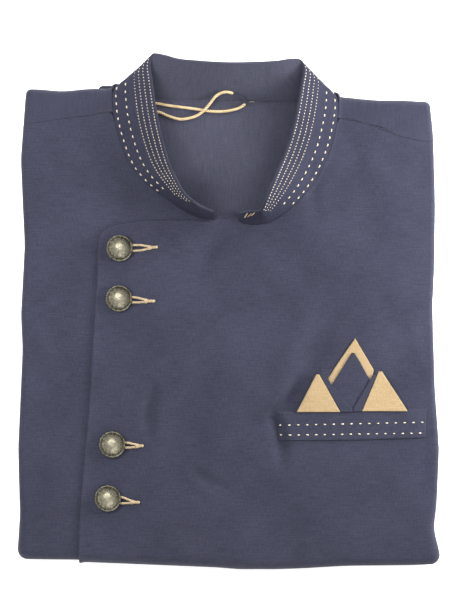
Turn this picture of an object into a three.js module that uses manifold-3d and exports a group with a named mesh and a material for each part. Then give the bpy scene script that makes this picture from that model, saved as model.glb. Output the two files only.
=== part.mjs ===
// A folded sherwani lying face up, in millimetres with +Z up.
// The wearer's left front laps over the right front and closes towards -X.
// Every cloth panel is a thin wall cut from one shared surface that lies over the folded layers.

import * as THREE from 'three';
import { mergeVertices } from 'three/addons/utils/BufferGeometryUtils.js';
import Module from 'manifold-3d';

const wasm = await Module();
wasm.setup();

// Heights of the cloth layers above the folded core
const GAP = 0.3;
const BACK_LOW = 0.3;
const BACK_HIGH = 1.5;
const FIRST_LOW = 1.8;
const FIRST_HIGH = 3.2;
const LAP_RISE = 1.7;
const FRONT_WALL = FIRST_HIGH - FIRST_LOW;

// The folded core
const CORE_EDGE_HEIGHT = 15;
const CROWN = 4.4;
const CROWN_HALF_WIDTH = 182;
const CROWN_HALF_LENGTH = 216;
const SIDE_ROLL = 1.6;
const HEM_ROLL = 4.9;
const HEM_ROLL_START_Y = -145;
const HEM_ROLL_FULL_Y = -195;

// Where the lap stops lying on the panel below it
const LAP_DROP_FROM_X = 4;
const LAP_DROP_TO_X = 36;

// Trim
const COLLAR_WALL = 1.0;
const SEAM_CLEARANCE = 1.6;
const CORD_RADIUS = 1.2;
const LOOP_CORD_RADIUS = 1.0;
const STEM_RADIUS = 1.35;
const BUTTON_RADIUS = 10.8;
const BUTTON_SHANK_RADIUS = 1.2;
const BUTTON_UNDERSIDE = 2.9;

// Grid of the shared surface
const COLUMNS = 17;
const ROWS = 20;
const ROLL_ANGLES = [56, 20, -20, -70];
const CORNER_STEPS = 3;

// The pack's outline seen from above, at the first front layer
const leftEdge = [
  { y: -215, x: -173.5 },
  { y: -196, x: -174.6 },
  { y: -166, x: -172.2 },
  { y: -112, x: -173.6 },
  { y: -30, x: -170.0 },
  { y: -1, x: -171.2 },
  { y: 56, x: -168.2 },
  { y: 88, x: -169.8 },
  { y: 127, x: -171.4 },
  { y: 182, x: -167.3 },
  { y: 195, x: -166.0 },
];
const rightEdge = [
  { y: -215, x: 174.6 },
  { y: -199, x: 174.2 },
  { y: -178, x: 168.9 },
  { y: -158, x: 171.0 },
  { y: -112, x: 173.0 },
  { y: -60, x: 169.3 },
  { y: 7, x: 167.4 },
  { y: 38, x: 168.9 },
  { y: 88, x: 169.7 },
  { y: 146, x: 168.2 },
  { y: 171, x: 165.6 },
  { y: 190, x: 163.0 },
];
const topEdge = [
  { x: -180, y: 184.4 },
  { x: -160, y: 184.4 },
  { x: -137, y: 182.4 },
  { x: -115, y: 184.5 },
  { x: -94, y: 184.6 },
  { x: 88, y: 178.2 },
  { x: 120, y: 175.0 },
  { x: 146, y: 174.8 },
  { x: 180, y: 173.0 },
];
const bottomEdge = [
  { x: -180, y: -203.0 },
  { x: -123, y: -203.6 },
  { x: -68, y: -205.8 },
  { x: -11, y: -208.2 },
  { x: 34, y: -211.6 },
  { x: 58, y: -210.8 },
  { x: 96, y: -208.6 },
  { x: 146, y: -208.2 },
  { x: 180, y: -207.2 },
];

// Soft folds in the upper face: a line from one end to the other, its half width and its height
const creases = [
  { x1: -20, y1: 52, x2: 62, y2: -34, width: 24, height: -1.6 },
  { x1: -58, y1: 20, x2: 20, y2: -92, width: 26, height: 1.2 },
  { x1: -104, y1: -168, x2: -40, y2: -60, width: 24, height: -1.0 },
  { x1: 60, y1: 70, x2: 140, y2: 10, width: 26, height: 1.2 },
  { x1: -10, y1: -185, x2: 20, y2: -112, width: 24, height: -1.4 },
  { x1: 92, y1: -188, x2: 60, y2: -128, width: 20, height: 1.0 },
  { x1: -135, y1: 120, x2: -118, y2: 20, width: 18, height: 0.9 },
  { x1: 128, y1: 128, x2: 96, y2: 74, width: 22, height: -1.0 },
  { x1: -146, y1: -60, x2: -140, y2: 10, width: 14, height: -0.9 },
];

// The collar's seam and its free edge, from the wearer's right front round to the left front
const collarSections = [
  { seamX: -13.1, seamY: 78.6, lift: 3.0, edgeX: -11.8, edgeY: 81.6, rise: 9 },
  { seamX: -19.7, seamY: 78.4, lift: 3.0, edgeX: -17.6, edgeY: 82.4, rise: 17 },
  { seamX: -27.1, seamY: 80.0, lift: 3.1, edgeX: -23.6, edgeY: 84.0, rise: 27 },
  { seamX: -35.6, seamY: 84.4, lift: 3.2, edgeX: -29.6, edgeY: 89.0, rise: 34 },
  { seamX: -46.0, seamY: 91.0, lift: 3.2, edgeX: -36.4, edgeY: 96.6, rise: 37 },
  { seamX: -58.2, seamY: 99.4, lift: 3.1, edgeX: -42.4, edgeY: 107.4, rise: 35 },
  { seamX: -70.9, seamY: 109.6, lift: 3.0, edgeX: -47.6, edgeY: 118.8, rise: 30 },
  { seamX: -80.8, seamY: 121.4, lift: 3.0, edgeX: -51.6, edgeY: 131.8, rise: 26 },
  { seamX: -89.6, seamY: 143.0, lift: 3.0, edgeX: -56.0, edgeY: 149.6, rise: 22 },
  { seamX: -93.9, seamY: 159.9, lift: 3.0, edgeX: -58.6, edgeY: 162.8, rise: 20 },
  { seamX: -95.2, seamY: 172.2, lift: 3.0, edgeX: -60.6, edgeY: 175.6, rise: 19 },
  { seamX: -95.0, seamY: 180.6, lift: 3.0, edgeX: -62.6, edgeY: 190.0, rise: 19 },
  { seamX: -92.6, seamY: 185.0, lift: 3.0, edgeX: -64.0, edgeY: 202.4, rise: 18 },
  { seamX: -86.6, seamY: 184.6, lift: 2.8, edgeX: -61.0, edgeY: 210.2, rise: 18 },
  { seamX: -75.8, seamY: 180.4, lift: 2.4, edgeX: -53.0, edgeY: 209.4, rise: 19 },
  { seamX: -59.0, seamY: 176.8, lift: 2.1, edgeX: -41.3, edgeY: 206.0, rise: 21 },
  { seamX: -32.0, seamY: 175.7, lift: 2.0, edgeX: -23.4, edgeY: 203.6, rise: 24 },
  { seamX: -2.5, seamY: 175.1, lift: 2.0, edgeX: -0.9, edgeY: 202.2, rise: 25 },
  { seamX: 27.1, seamY: 174.5, lift: 2.0, edgeX: 21.7, edgeY: 202.8, rise: 24 },
  { seamX: 53.3, seamY: 174.4, lift: 2.1, edgeX: 39.0, edgeY: 204.2, rise: 21 },
  { seamX: 69.6, seamY: 176.0, lift: 2.4, edgeX: 49.6, edgeY: 206.0, rise: 19 },
  { seamX: 81.0, seamY: 178.9, lift: 2.8, edgeX: 57.0, edgeY: 205.4, rise: 18 },
  { seamX: 87.2, seamY: 177.8, lift: 3.0, edgeX: 60.2, edgeY: 198.8, rise: 18 },
  { seamX: 89.2, seamY: 171.0, lift: 3.0, edgeX: 58.4, edgeY: 185.6, rise: 19 },
  { seamX: 88.6, seamY: 159.4, lift: 3.0, edgeX: 55.8, edgeY: 169.8, rise: 20 },
  { seamX: 86.1, seamY: 147.1, lift: 3.0, edgeX: 52.6, edgeY: 154.2, rise: 21 },
  { seamX: 82.6, seamY: 134.2, lift: 3.0, edgeX: 48.8, edgeY: 140.4, rise: 22 },
  { seamX: 77.6, seamY: 121.8, lift: 3.0, edgeX: 44.4, edgeY: 128.0, rise: 23 },
  { seamX: 71.0, seamY: 110.0, lift: 3.0, edgeX: 40.0, edgeY: 117.4, rise: 26 },
  { seamX: 62.6, seamY: 98.6, lift: 3.1, edgeX: 35.8, edgeY: 107.2, rise: 30 },
  { seamX: 52.6, seamY: 88.4, lift: 3.2, edgeX: 32.0, edgeY: 98.0, rise: 34 },
  { seamX: 42.2, seamY: 80.6, lift: 3.2, edgeX: 29.0, edgeY: 90.2, rise: 36 },
  { seamX: 32.8, seamY: 75.4, lift: 3.1, edgeX: 26.0, edgeY: 83.4, rise: 33 },
  { seamX: 23.4, seamY: 73.2, lift: 3.0, edgeX: 22.4, edgeY: 79.6, rise: 24 },
  { seamX: 14.8, seamY: 73.4, lift: 3.0, edgeX: 16.0, edgeY: 78.0, rise: 15 },
  { seamX: 8.2, seamY: 75.2, lift: 3.0, edgeX: 10.0, edgeY: 78.6, rise: 8 },
];
const FIRST_BACK_SECTION = 12;
const LAST_BACK_SECTION = 22;

// Seams that run from the neck to the sides
const leftShoulder = [
  { x: -176, y: 153.4 },
  { x: -154.3, y: 156.5 },
  { x: -137.6, y: 159.3 },
  { x: -112.5, y: 162.3 },
  { x: -94.2, y: 164.8 },
];
const rightShoulder = [
  { x: 88.0, y: 160.2 },
  { x: 105.0, y: 156.4 },
  { x: 116.8, y: 152.8 },
  { x: 129.3, y: 149.0 },
  { x: 141.9, y: 144.6 },
  { x: 154.4, y: 141.4 },
  { x: 178, y: 139.4 },
];

// The free edge of the lap and its top edge
const lapEdge = [
  { x: -124.3, y: -225 },
  { x: -122.4, y: -169.7 },
  { x: -119.3, y: -129.6 },
  { x: -114.0, y: -71.3 },
  { x: -110.7, y: -13.1 },
  { x: -108.2, y: 18.9 },
  { x: -106.6, y: 60.0 },
  { x: -105.0, y: 65.4 },
  { x: -94.3, y: 71.4 },
  { x: -78.2, y: 74.4 },
  { x: -63.6, y: 75.4 },
  { x: -34.4, y: 76.0 },
  { x: -19.7, y: 75.2 },
  { x: -8.2, y: 76.6 },
  { x: 2.5, y: 76.2 },
  { x: 8.2, y: 75.2 },
];

// The edge of the right front that the lap hides
const underEdge = [
  { x: -13.1, y: 78.6 },
  { x: -9, y: 74 },
  { x: -4, y: 40 },
  { x: 0, y: -60 },
  { x: 0, y: -225 },
];

const buttonTable = [
  { name: 'button_1', x: -89.3, y: 53.0, loopEndX: -58.0, loopEndY: 54.0, joinX: -65.0, joinY: 53.6, spread: 2.3 },
  { name: 'button_2', x: -89.8, y: 12.0, loopEndX: -60.2, loopEndY: 9.8, joinX: -67.8, joinY: 9.9, spread: 2.1 },
  { name: 'button_3', x: -95.4, y: -107.2, loopEndX: -69.6, loopEndY: -108.4, joinX: -74.8, joinY: -108.7, spread: 2.0 },
  { name: 'button_4', x: -99.1, y: -151.4, loopEndX: -73.0, loopEndY: -155.0, joinX: -79.2, joinY: -154.7, spread: 2.4 },
];

// Half section of a button, radius and height
const buttonProfile = [
  { r: 0, z: 0.35 },
  { r: BUTTON_SHANK_RADIUS, z: 0.35 },
  { r: BUTTON_SHANK_RADIUS, z: BUTTON_UNDERSIDE },
  { r: 9.9, z: BUTTON_UNDERSIDE + 0.1 },
  { r: BUTTON_RADIUS, z: BUTTON_UNDERSIDE + 0.9 },
  { r: 10.5, z: BUTTON_UNDERSIDE + 1.7 },
  { r: 9.3, z: BUTTON_UNDERSIDE + 2.2 },
  { r: 8.0, z: BUTTON_UNDERSIDE + 3.6 },
  { r: 5.6, z: BUTTON_UNDERSIDE + 5.2 },
  { r: 2.8, z: BUTTON_UNDERSIDE + 6.2 },
  { r: 0, z: BUTTON_UNDERSIDE + 6.5 },
];

// The hanger loop's centre line, with its height over the folded core
const hangerPath = [
  { x: 3.6, y: 179.4, lift: 10.0 },
  { x: -2.9, y: 180.4, lift: 11.0 },
  { x: -9.8, y: 177.9, lift: 9.4 },
  { x: -15.8, y: 171.0, lift: 7.0 },
  { x: -19.8, y: 166.5, lift: 6.0 },
  { x: -25.7, y: 162.0, lift: 4.2 },
  { x: -33.6, y: 159.5, lift: 3.1 },
  { x: -40.6, y: 159.0, lift: 3.1 },
  { x: -49.5, y: 161.4, lift: 3.1 },
  { x: -57.0, y: 164.6, lift: 3.1 },
  { x: -64.0, y: 165.6, lift: 3.1 },
  { x: -68.4, y: 168.2, lift: 3.2 },
  { x: -66.4, y: 171.6, lift: 3.2 },
  { x: -59.5, y: 172.0, lift: 3.1 },
  { x: -51.6, y: 170.5, lift: 3.1 },
  { x: -43.6, y: 169.4, lift: 3.1 },
  { x: -33.6, y: 168.1, lift: 3.1 },
  { x: -25.7, y: 167.0, lift: 3.1 },
  { x: -17.8, y: 165.7, lift: 3.1 },
  { x: -6.9, y: 165.2, lift: 3.1 },
  { x: 2.0, y: 166.3, lift: 3.1 },
  { x: 9.4, y: 168.6, lift: 3.3 },
  { x: 13.4, y: 171.4, lift: 4.6 },
];

// The welt and the folded square in the pocket, each seen from above
const weltOutline = [
  { x: 39.7, y: -81.7 },
  { x: 100.0, y: -81.2 },
  { x: 161.9, y: -78.8 },
  { x: 161.1, y: -102.2 },
  { x: 100.0, y: -104.2 },
  { x: 41.2, y: -104.6 },
];
const squareTable = [
  {
    name: 'square_peak', low: 0.35, material: 'tan_cloth',
    outline: [[103.1, -20.8], [80.3, -54.0], [82.0, -62.0], [96.0, -80.6], [106.0, -80.6], [116.0, -60.0], [118.5, -46.5]],
  },
  {
    name: 'square_diamond', low: 1.6, material: 'navy_cloth',
    outline: [[101.3, -31.6], [98.6, -36.0], [84.2, -58.4], [91.4, -80.6], [110.0, -80.4], [115.2, -54.6], [104.2, -35.6]],
  },
  {
    name: 'square_left_band', low: 2.9, material: 'navy_cloth',
    outline: [[75.8, -46.1], [84.7, -46.1], [86.6, -62.1], [101.0, -78.4], [100.8, -80.7], [91.6, -80.8]],
  },
  {
    name: 'square_left_point', low: 2.9, material: 'tan_cloth',
    outline: [[71.4, -50.0], [73.7, -50.3], [91.0, -80.8], [55.3, -81.0]],
  },
  {
    name: 'square_right_band', low: 2.9, material: 'navy_cloth',
    outline: [[117.3, -50.8], [120.6, -50.4], [108.1, -80.4], [101.6, -80.5], [101.6, -78.0], [114.0, -56.9]],
  },
  {
    name: 'square_right_point', low: 2.9, material: 'tan_cloth',
    outline: [[122.4, -47.5], [125.0, -48.0], [145.9, -79.1], [108.8, -80.4]],
  },
];
const SQUARE_WALL = 1.0;
const WELT_WALL = 2.2;

const materials = {
  navy_cloth: new THREE.MeshStandardMaterial({ color: 0x2b2d40, roughness: 0.85, metalness: 0 }),
  tan_cloth: new THREE.MeshStandardMaterial({ color: 0xb89463, roughness: 0.8, metalness: 0 }),
  tan_cord: new THREE.MeshStandardMaterial({ color: 0xb08a55, roughness: 0.8, metalness: 0 }),
  aged_metal: new THREE.MeshStandardMaterial({ color: 0x8d8873, roughness: 0.4, metalness: 1 }),
};

// Straight-line reading of a table, one named column against another
function readTable(table, from, to, value) {
  if (value <= table[0][from]) {
    return table[0][to];
  }
  for (let k = 1; k < table.length; k += 1) {
    const a = table[k - 1];
    const b = table[k];
    if (value <= b[from]) {
      return a[to] + (b[to] - a[to]) * (value - a[from]) / (b[from] - a[from]);
    }
  }
  return table[table.length - 1][to];
}

function smoothStep(value, low, high) {
  return THREE.MathUtils.smoothstep(value, low, high);
}

function rollRadius(y) {
  const share = 1 - smoothStep(y, HEM_ROLL_FULL_Y, HEM_ROLL_START_Y);
  return SIDE_ROLL + (HEM_ROLL - SIDE_ROLL) * share;
}

function creaseHeight(crease, x, y) {
  const dx = crease.x2 - crease.x1;
  const dy = crease.y2 - crease.y1;
  const length = Math.hypot(dx, dy);
  const along = ((x - crease.x1) * dx + (y - crease.y1) * dy) / (length * length);
  const across = ((x - crease.x1) * dy - (y - crease.y1) * dx) / length;
  const past = Math.max(0, -along, along - 1) * length;
  return crease.height * Math.exp(-((across / crease.width) ** 2) - (past / crease.width) ** 2);
}

function coreTop(x, y) {
  const across = Math.max(0, 1 - (x / CROWN_HALF_WIDTH) ** 2);
  const along = Math.max(0, 1 - (y / CROWN_HALF_LENGTH) ** 2);
  let height = CORE_EDGE_HEIGHT + CROWN * across ** 0.8 * along ** 0.8;
  for (const crease of creases) {
    height += creaseHeight(crease, x, y) * Math.min(1, 4 * across, 4 * along);
  }
  return height;
}

function lapRise(x) {
  return LAP_RISE * (1 - smoothStep(x, LAP_DROP_FROM_X, LAP_DROP_TO_X));
}

// The shared grid: its border lies one roll inside the outline
function cornerPoint(xTable, yTable, xSign, ySign) {
  let x = -xSign * 170;
  let y = -ySign * 200;
  for (let k = 0; k < 6; k += 1) {
    const inset = rollRadius(y) + FIRST_HIGH;
    x = readTable(xTable, 'y', 'x', y) + xSign * inset;
    y = readTable(yTable, 'x', 'y', x) + ySign * inset;
  }
  return { x, y };
}

function buildGrid() {
  const bottomLeft = cornerPoint(leftEdge, bottomEdge, 1, 1);
  const bottomRight = cornerPoint(rightEdge, bottomEdge, -1, 1);
  const topLeft = cornerPoint(leftEdge, topEdge, 1, -1);
  const topRight = cornerPoint(rightEdge, topEdge, -1, -1);
  const onSide = (table, a, b, share, sign) => {
    const y = a.y + (b.y - a.y) * share;
    return { x: readTable(table, 'y', 'x', y) + sign * (rollRadius(y) + FIRST_HIGH), y };
  };
  const onEnd = (table, a, b, share, sign) => {
    const x = a.x + (b.x - a.x) * share;
    const y = readTable(table, 'x', 'y', x);
    return { x, y: y + sign * (rollRadius(y) + FIRST_HIGH) };
  };
  const nodes = [];
  for (let j = 0; j <= ROWS; j += 1) {
    const t = j / ROWS;
    const left = onSide(leftEdge, bottomLeft, topLeft, t, 1);
    const right = onSide(rightEdge, bottomRight, topRight, t, -1);
    for (let i = 0; i <= COLUMNS; i += 1) {
      const s = i / COLUMNS;
      const low = onEnd(bottomEdge, bottomLeft, bottomRight, s, 1);
      const high = onEnd(topEdge, topLeft, topRight, s, -1);
      const blend = (axis) => (1 - s) * left[axis] + s * right[axis] + (1 - t) * low[axis] + t * high[axis]
        - (1 - s) * (1 - t) * bottomLeft[axis] - s * (1 - t) * bottomRight[axis]
        - (1 - s) * t * topLeft[axis] - s * t * topRight[axis];
      nodes.push({ x: blend('x'), y: blend('y') });
    }
  }
  return nodes;
}

const gridNodes = buildGrid();
const nodeIndex = (i, j) => j * (COLUMNS + 1) + i;

// The border, anticlockwise, with the way out at each step; a corner turns in a few steps
function buildBorder() {
  const border = [];
  const addSide = (count, indexAt, angle) => {
    for (let k = 0; k <= count; k += 1) {
      border.push({ index: indexAt(k), angle });
    }
    for (let k = 1; k < CORNER_STEPS; k += 1) {
      border.push({ index: indexAt(count), angle: angle + 90 * k / CORNER_STEPS });
    }
  };
  addSide(COLUMNS, (k) => nodeIndex(k, 0), -90);
  addSide(ROWS, (k) => nodeIndex(COLUMNS, k), 0);
  addSide(COLUMNS, (k) => nodeIndex(COLUMNS - k, ROWS), 90);
  addSide(ROWS, (k) => nodeIndex(0, ROWS - k), 180);
  return border;
}

const border = buildBorder();

// One face of a wall: the grid, raised, with the rings of the rolled edge
function rolledFace(liftAt) {
  const points = gridNodes.map((node) => [node.x, node.y, coreTop(node.x, node.y) + liftAt(node.x)]);
  const faces = [];
  for (let j = 0; j < ROWS; j += 1) {
    for (let i = 0; i < COLUMNS; i += 1) {
      const a = nodeIndex(i, j);
      const b = nodeIndex(i + 1, j);
      const c = nodeIndex(i + 1, j + 1);
      const d = nodeIndex(i, j + 1);
      faces.push([a, b, c], [a, c, d]);
    }
  }
  let inner = border.map((step) => step.index);
  for (const degrees of ROLL_ANGLES) {
    const angle = THREE.MathUtils.degToRad(degrees);
    const outer = border.map((step) => {
      const node = gridNodes[step.index];
      const radius = rollRadius(node.y);
      const reach = (radius + liftAt(node.x)) * Math.cos(angle);
      const way = THREE.MathUtils.degToRad(step.angle);
      const z = coreTop(node.x, node.y) - radius + (radius + liftAt(node.x)) * Math.sin(angle);
      points.push([node.x + reach * Math.cos(way), node.y + reach * Math.sin(way), z]);
      return points.length - 1;
    });
    for (let k = 0; k < border.length; k += 1) {
      const next = (k + 1) % border.length;
      faces.push([inner[k], outer[k], outer[next]]);
      if (inner[k] !== inner[next]) {
        faces.push([inner[k], outer[next], inner[next]]);
      }
    }
    inner = outer;
  }
  return { points, faces, rim: inner };
}

function solidFrom(points, faces) {
  const mesh = new wasm.Mesh({
    numProp: 3,
    vertProperties: new Float32Array(points.flat()),
    triVerts: new Uint32Array(faces.flat()),
  });
  return new wasm.Manifold(mesh);
}

// A wall between two raised faces, joined along the rolled rim
function rolledWall(lowAt, highAt) {
  const low = rolledFace(lowAt);
  const high = rolledFace(highAt);
  const offset = high.points.length;
  const points = [...high.points, ...low.points];
  const faces = [...high.faces];
  for (const [a, b, c] of low.faces) {
    faces.push([a + offset, c + offset, b + offset]);
  }
  for (let k = 0; k < high.rim.length; k += 1) {
    const next = (k + 1) % high.rim.length;
    const a = high.rim[k];
    const b = high.rim[next];
    const c = low.rim[next] + offset;
    const d = low.rim[k] + offset;
    faces.push([a, d, c], [a, c, b]);
  }
  return solidFrom(points, faces);
}

// The flat part of a layer, without its rolled edge
function flatLayer(low, high) {
  const count = gridNodes.length;
  const points = [];
  for (const lift of [high, low]) {
    for (const node of gridNodes) {
      points.push([node.x, node.y, coreTop(node.x, node.y) + lift]);
    }
  }
  const faces = [];
  for (let j = 0; j < ROWS; j += 1) {
    for (let i = 0; i < COLUMNS; i += 1) {
      const a = nodeIndex(i, j);
      const b = nodeIndex(i + 1, j);
      const c = nodeIndex(i + 1, j + 1);
      const d = nodeIndex(i, j + 1);
      faces.push([a, b, c], [a, c, d]);
      faces.push([a + count, c + count, b + count], [a + count, d + count, c + count]);
    }
  }
  const rim = border.map((step) => step.index).filter((index, k, all) => index !== all[(k + 1) % all.length]);
  for (let k = 0; k < rim.length; k += 1) {
    const a = rim[k];
    const b = rim[(k + 1) % rim.length];
    faces.push([a, a + count, b + count], [a, b + count, b]);
  }
  return solidFrom(points, faces);
}

// Rings of the folded edge below the upper roll: share of the lower height, and depth inside the edge
const lowerRings = [
  { share: 1.0, depth: 2.0, layer: 'middle' },
  { share: 0.88, depth: 0.3, layer: 'middle' },
  { share: 0.63, depth: 0.3, layer: 'middle' },
  { share: 0.5, depth: 1.9, layer: 'lower' },
  { share: 0.37, depth: 0.3, layer: 'lower' },
  { share: 0.12, depth: 0.3, layer: 'lower' },
  { share: 0, depth: 2.0, layer: 'lower' },
];
const LOWER_HEIGHT = 8.4;
const HEM_LOWER_HEIGHT = 4.8;
const GROOVE_HEIGHT = 1.2;
const GROOVE_DEPTH = 2.5;
const PEEP_FROM_X = -109;
const PEEP_TO_X = -88;
const PEEP_REACH = 8.2;

// How far a folded layer's edge reaches past the grid's border
function layerReach(layer, node) {
  const share = Math.min(1, 2.2 * (rollRadius(node.y) - SIDE_ROLL) / (HEM_ROLL - SIDE_ROLL));
  if (layer === 'middle' && node.y > 150 && node.x > PEEP_FROM_X && node.x < PEEP_TO_X) {
    return PEEP_REACH;
  }
  const inset = layer === 'middle' ? 1.9 + 0.9 * Math.sin(1 + node.y / 51) : 3.4 + 1.1 * Math.sin(node.y / 37);
  return (SIDE_ROLL + FIRST_HIGH - inset) * (1 - share);
}

// The folded core: the raised face, its roll, a groove, and the edges of two folded layers below
function coreSolid() {
  const { points, faces, rim } = rolledFace(() => 0);
  let above = rim;
  const addRing = (reachAt, heightAt) => {
    const ring = border.map((step) => {
      const node = gridNodes[step.index];
      const way = THREE.MathUtils.degToRad(step.angle);
      const reach = reachAt(node);
      points.push([node.x + reach * Math.cos(way), node.y + reach * Math.sin(way), heightAt(node)]);
      return points.length - 1;
    });
    for (let k = 0; k < ring.length; k += 1) {
      const next = (k + 1) % ring.length;
      faces.push([above[k], ring[k], ring[next]], [above[k], ring[next], above[next]]);
    }
    above = ring;
  };
  const lowerHeight = (node) => {
    const share = (rollRadius(node.y) - SIDE_ROLL) / (HEM_ROLL - SIDE_ROLL);
    return LOWER_HEIGHT + (HEM_LOWER_HEIGHT - LOWER_HEIGHT) * Math.min(1, 1.6 * share);
  };
  addRing(() => -GROOVE_DEPTH, (node) => lowerHeight(node) + GROOVE_HEIGHT * lowerHeight(node) / LOWER_HEIGHT);
  for (const row of lowerRings) {
    addRing((node) => layerReach(row.layer, node) - row.depth, (node) => lowerHeight(node) * row.share);
  }
  points.push([0, 0, 0]);
  for (let k = 0; k < above.length; k += 1) {
    faces.push([above[k], points.length - 1, above[(k + 1) % above.length]]);
  }
  return solidFrom(points, faces);
}

// The joined solid without the crumbs that a join can leave
function largestBody(solid) {
  const bodies = solid.decompose();
  bodies.sort((a, b) => b.volume() - a.volume());
  return bodies[0];
}

// A tall prism over an outline
function prism(outline) {
  const shape = new THREE.Shape(outline.map((point) => new THREE.Vector2(point.x, point.y)));
  const geometry = new THREE.ExtrudeGeometry(shape, { depth: 90, bevelEnabled: false });
  geometry.translate(0, 0, -5);
  return solidFromGeometry(geometry);
}

function solidFromGeometry(geometry) {
  const plain = geometry.clone();
  plain.deleteAttribute('normal');
  plain.deleteAttribute('uv');
  const merged = mergeVertices(plain.index ? plain.toNonIndexed() : plain, 1e-3);
  return new wasm.Manifold(new wasm.Mesh({
    numProp: 3,
    vertProperties: new Float32Array(merged.attributes.position.array),
    triVerts: new Uint32Array(merged.index.array),
  }));
}

function geometryFromSolid(solid) {
  const mesh = solid.getMesh();
  const positions = new Float32Array(mesh.vertProperties.length / mesh.numProp * 3);
  for (let k = 0; k < positions.length / 3; k += 1) {
    for (let axis = 0; axis < 3; axis += 1) {
      positions[3 * k + axis] = mesh.vertProperties[k * mesh.numProp + axis];
    }
  }
  const geometry = new THREE.BufferGeometry();
  geometry.setAttribute('position', new THREE.BufferAttribute(positions, 3));
  geometry.setIndex(new THREE.BufferAttribute(new Uint32Array(mesh.triVerts), 1));
  return geometry;
}

// A narrow strip along a line, both sides
function strip(line, half) {
  const left = [];
  const right = [];
  for (let k = 0; k < line.length; k += 1) {
    const a = line[Math.max(0, k - 1)];
    const b = line[Math.min(line.length - 1, k + 1)];
    const length = Math.hypot(b.x - a.x, b.y - a.y);
    const nx = -(b.y - a.y) / length;
    const ny = (b.x - a.x) / length;
    left.push({ x: line[k].x + nx * half, y: line[k].y + ny * half });
    right.push({ x: line[k].x - nx * half, y: line[k].y - ny * half });
  }
  return prism([...left, ...right.reverse()]);
}

// The collar's middle surface: straight lines from the seam to the free edge
const seamCurve = new THREE.CatmullRomCurve3(collarSections.map((row) => (
  new THREE.Vector3(row.seamX, row.seamY, coreTop(row.seamX, row.seamY) + row.lift)
)), false, 'centripetal');
const edgeCurve = new THREE.CatmullRomCurve3(collarSections.map((row) => (
  new THREE.Vector3(row.edgeX, row.edgeY, coreTop(row.seamX, row.seamY) + row.lift + row.rise)
)), false, 'centripetal');

function collarPoint(u, v) {
  const point = new THREE.Vector3().lerpVectors(seamCurve.getPoint(u), edgeCurve.getPoint(u), v);
  return point;
}

function collarNormal(u, v) {
  const step = 0.004;
  const along = collarPoint(Math.min(1, u + step), v).sub(collarPoint(Math.max(0, u - step), v));
  const up = collarPoint(u, 1).sub(collarPoint(u, 0));
  return up.cross(along).normalize();
}

function collarWall(low, high) {
  const steps = 48;
  const bands = 3;
  const points = [];
  for (const offset of [high, low]) {
    for (let i = 0; i <= steps; i += 1) {
      for (let j = 0; j <= bands; j += 1) {
        const u = i / steps;
        const v = j / bands;
        const point = collarPoint(u, v).addScaledVector(collarNormal(u, v), offset);
        points.push([point.x, point.y, point.z]);
      }
    }
  }
  const row = bands + 1;
  const count = row * (steps + 1);
  const faces = [];
  const quad = (a, b, c, d) => faces.push([a, b, c], [a, c, d]);
  for (let i = 0; i < steps; i += 1) {
    for (let j = 0; j < bands; j += 1) {
      const a = i * row + j;
      quad(a, a + 1, a + row + 1, a + row);
      quad(a + count, a + row + count, a + row + 1 + count, a + 1 + count);
    }
    const seam = i * row;
    quad(seam, seam + row, seam + row + count, seam + count);
    const edge = i * row + bands;
    quad(edge, edge + count, edge + row + count, edge + row);
  }
  for (let j = 0; j < bands; j += 1) {
    quad(j, j + count, j + 1 + count, j + 1);
    const end = steps * row + j;
    quad(end, end + 1, end + 1 + count, end + count);
  }
  return solidFrom(points, faces);
}

// A round tube along a smooth line
function tube(pathPoints, radius, steps) {
  const path = new THREE.CatmullRomCurve3(pathPoints, false, 'centripetal');
  const shape = new THREE.Shape();
  const sides = 8;
  for (let k = 0; k < sides; k += 1) {
    const angle = 2 * Math.PI * k / sides;
    const x = radius * Math.cos(angle);
    const y = radius * Math.sin(angle);
    if (k === 0) {
      shape.moveTo(x, y);
    } else {
      shape.lineTo(x, y);
    }
  }
  shape.closePath();
  return new THREE.ExtrudeGeometry(shape, { steps, bevelEnabled: false, extrudePath: path });
}

// Height of the upper face of the left front
function lapTop(x, y) {
  return coreTop(x, y) + FIRST_HIGH + lapRise(x);
}

// A small piece laid on the left front, cut from a fine patch of its face
function laidPiece(outline, lowAt, highAt, cell) {
  const xs = outline.map((point) => point.x);
  const ys = outline.map((point) => point.y);
  const x0 = Math.min(...xs) - 1;
  const y0 = Math.min(...ys) - 1;
  const columns = Math.ceil((Math.max(...xs) + 1 - x0) / cell);
  const rows = Math.ceil((Math.max(...ys) + 1 - y0) / cell);
  const points = [];
  const count = (columns + 1) * (rows + 1);
  for (const liftAt of [highAt, lowAt]) {
    for (let j = 0; j <= rows; j += 1) {
      for (let i = 0; i <= columns; i += 1) {
        const x = x0 + i * cell;
        const y = y0 + j * cell;
        points.push([x, y, lapTop(x, y) + liftAt(x, y)]);
      }
    }
  }
  const faces = [];
  const quad = (a, b, c, d) => faces.push([a, b, c], [a, c, d]);
  const at = (i, j) => j * (columns + 1) + i;
  for (let j = 0; j < rows; j += 1) {
    for (let i = 0; i < columns; i += 1) {
      quad(at(i, j), at(i + 1, j), at(i + 1, j + 1), at(i, j + 1));
      quad(at(i, j) + count, at(i, j + 1) + count, at(i + 1, j + 1) + count, at(i + 1, j) + count);
    }
  }
  for (let i = 0; i < columns; i += 1) {
    quad(at(i, 0), at(i, 0) + count, at(i + 1, 0) + count, at(i + 1, 0));
    quad(at(i, rows), at(i + 1, rows), at(i + 1, rows) + count, at(i, rows) + count);
  }
  for (let j = 0; j < rows; j += 1) {
    quad(at(0, j), at(0, j + 1), at(0, j + 1) + count, at(0, j) + count);
    quad(at(columns, j), at(columns, j) + count, at(columns, j + 1) + count, at(columns, j + 1));
  }
  return solidFrom(points, faces).intersect(prism(outline));
}

const garment = new THREE.Group();

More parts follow.
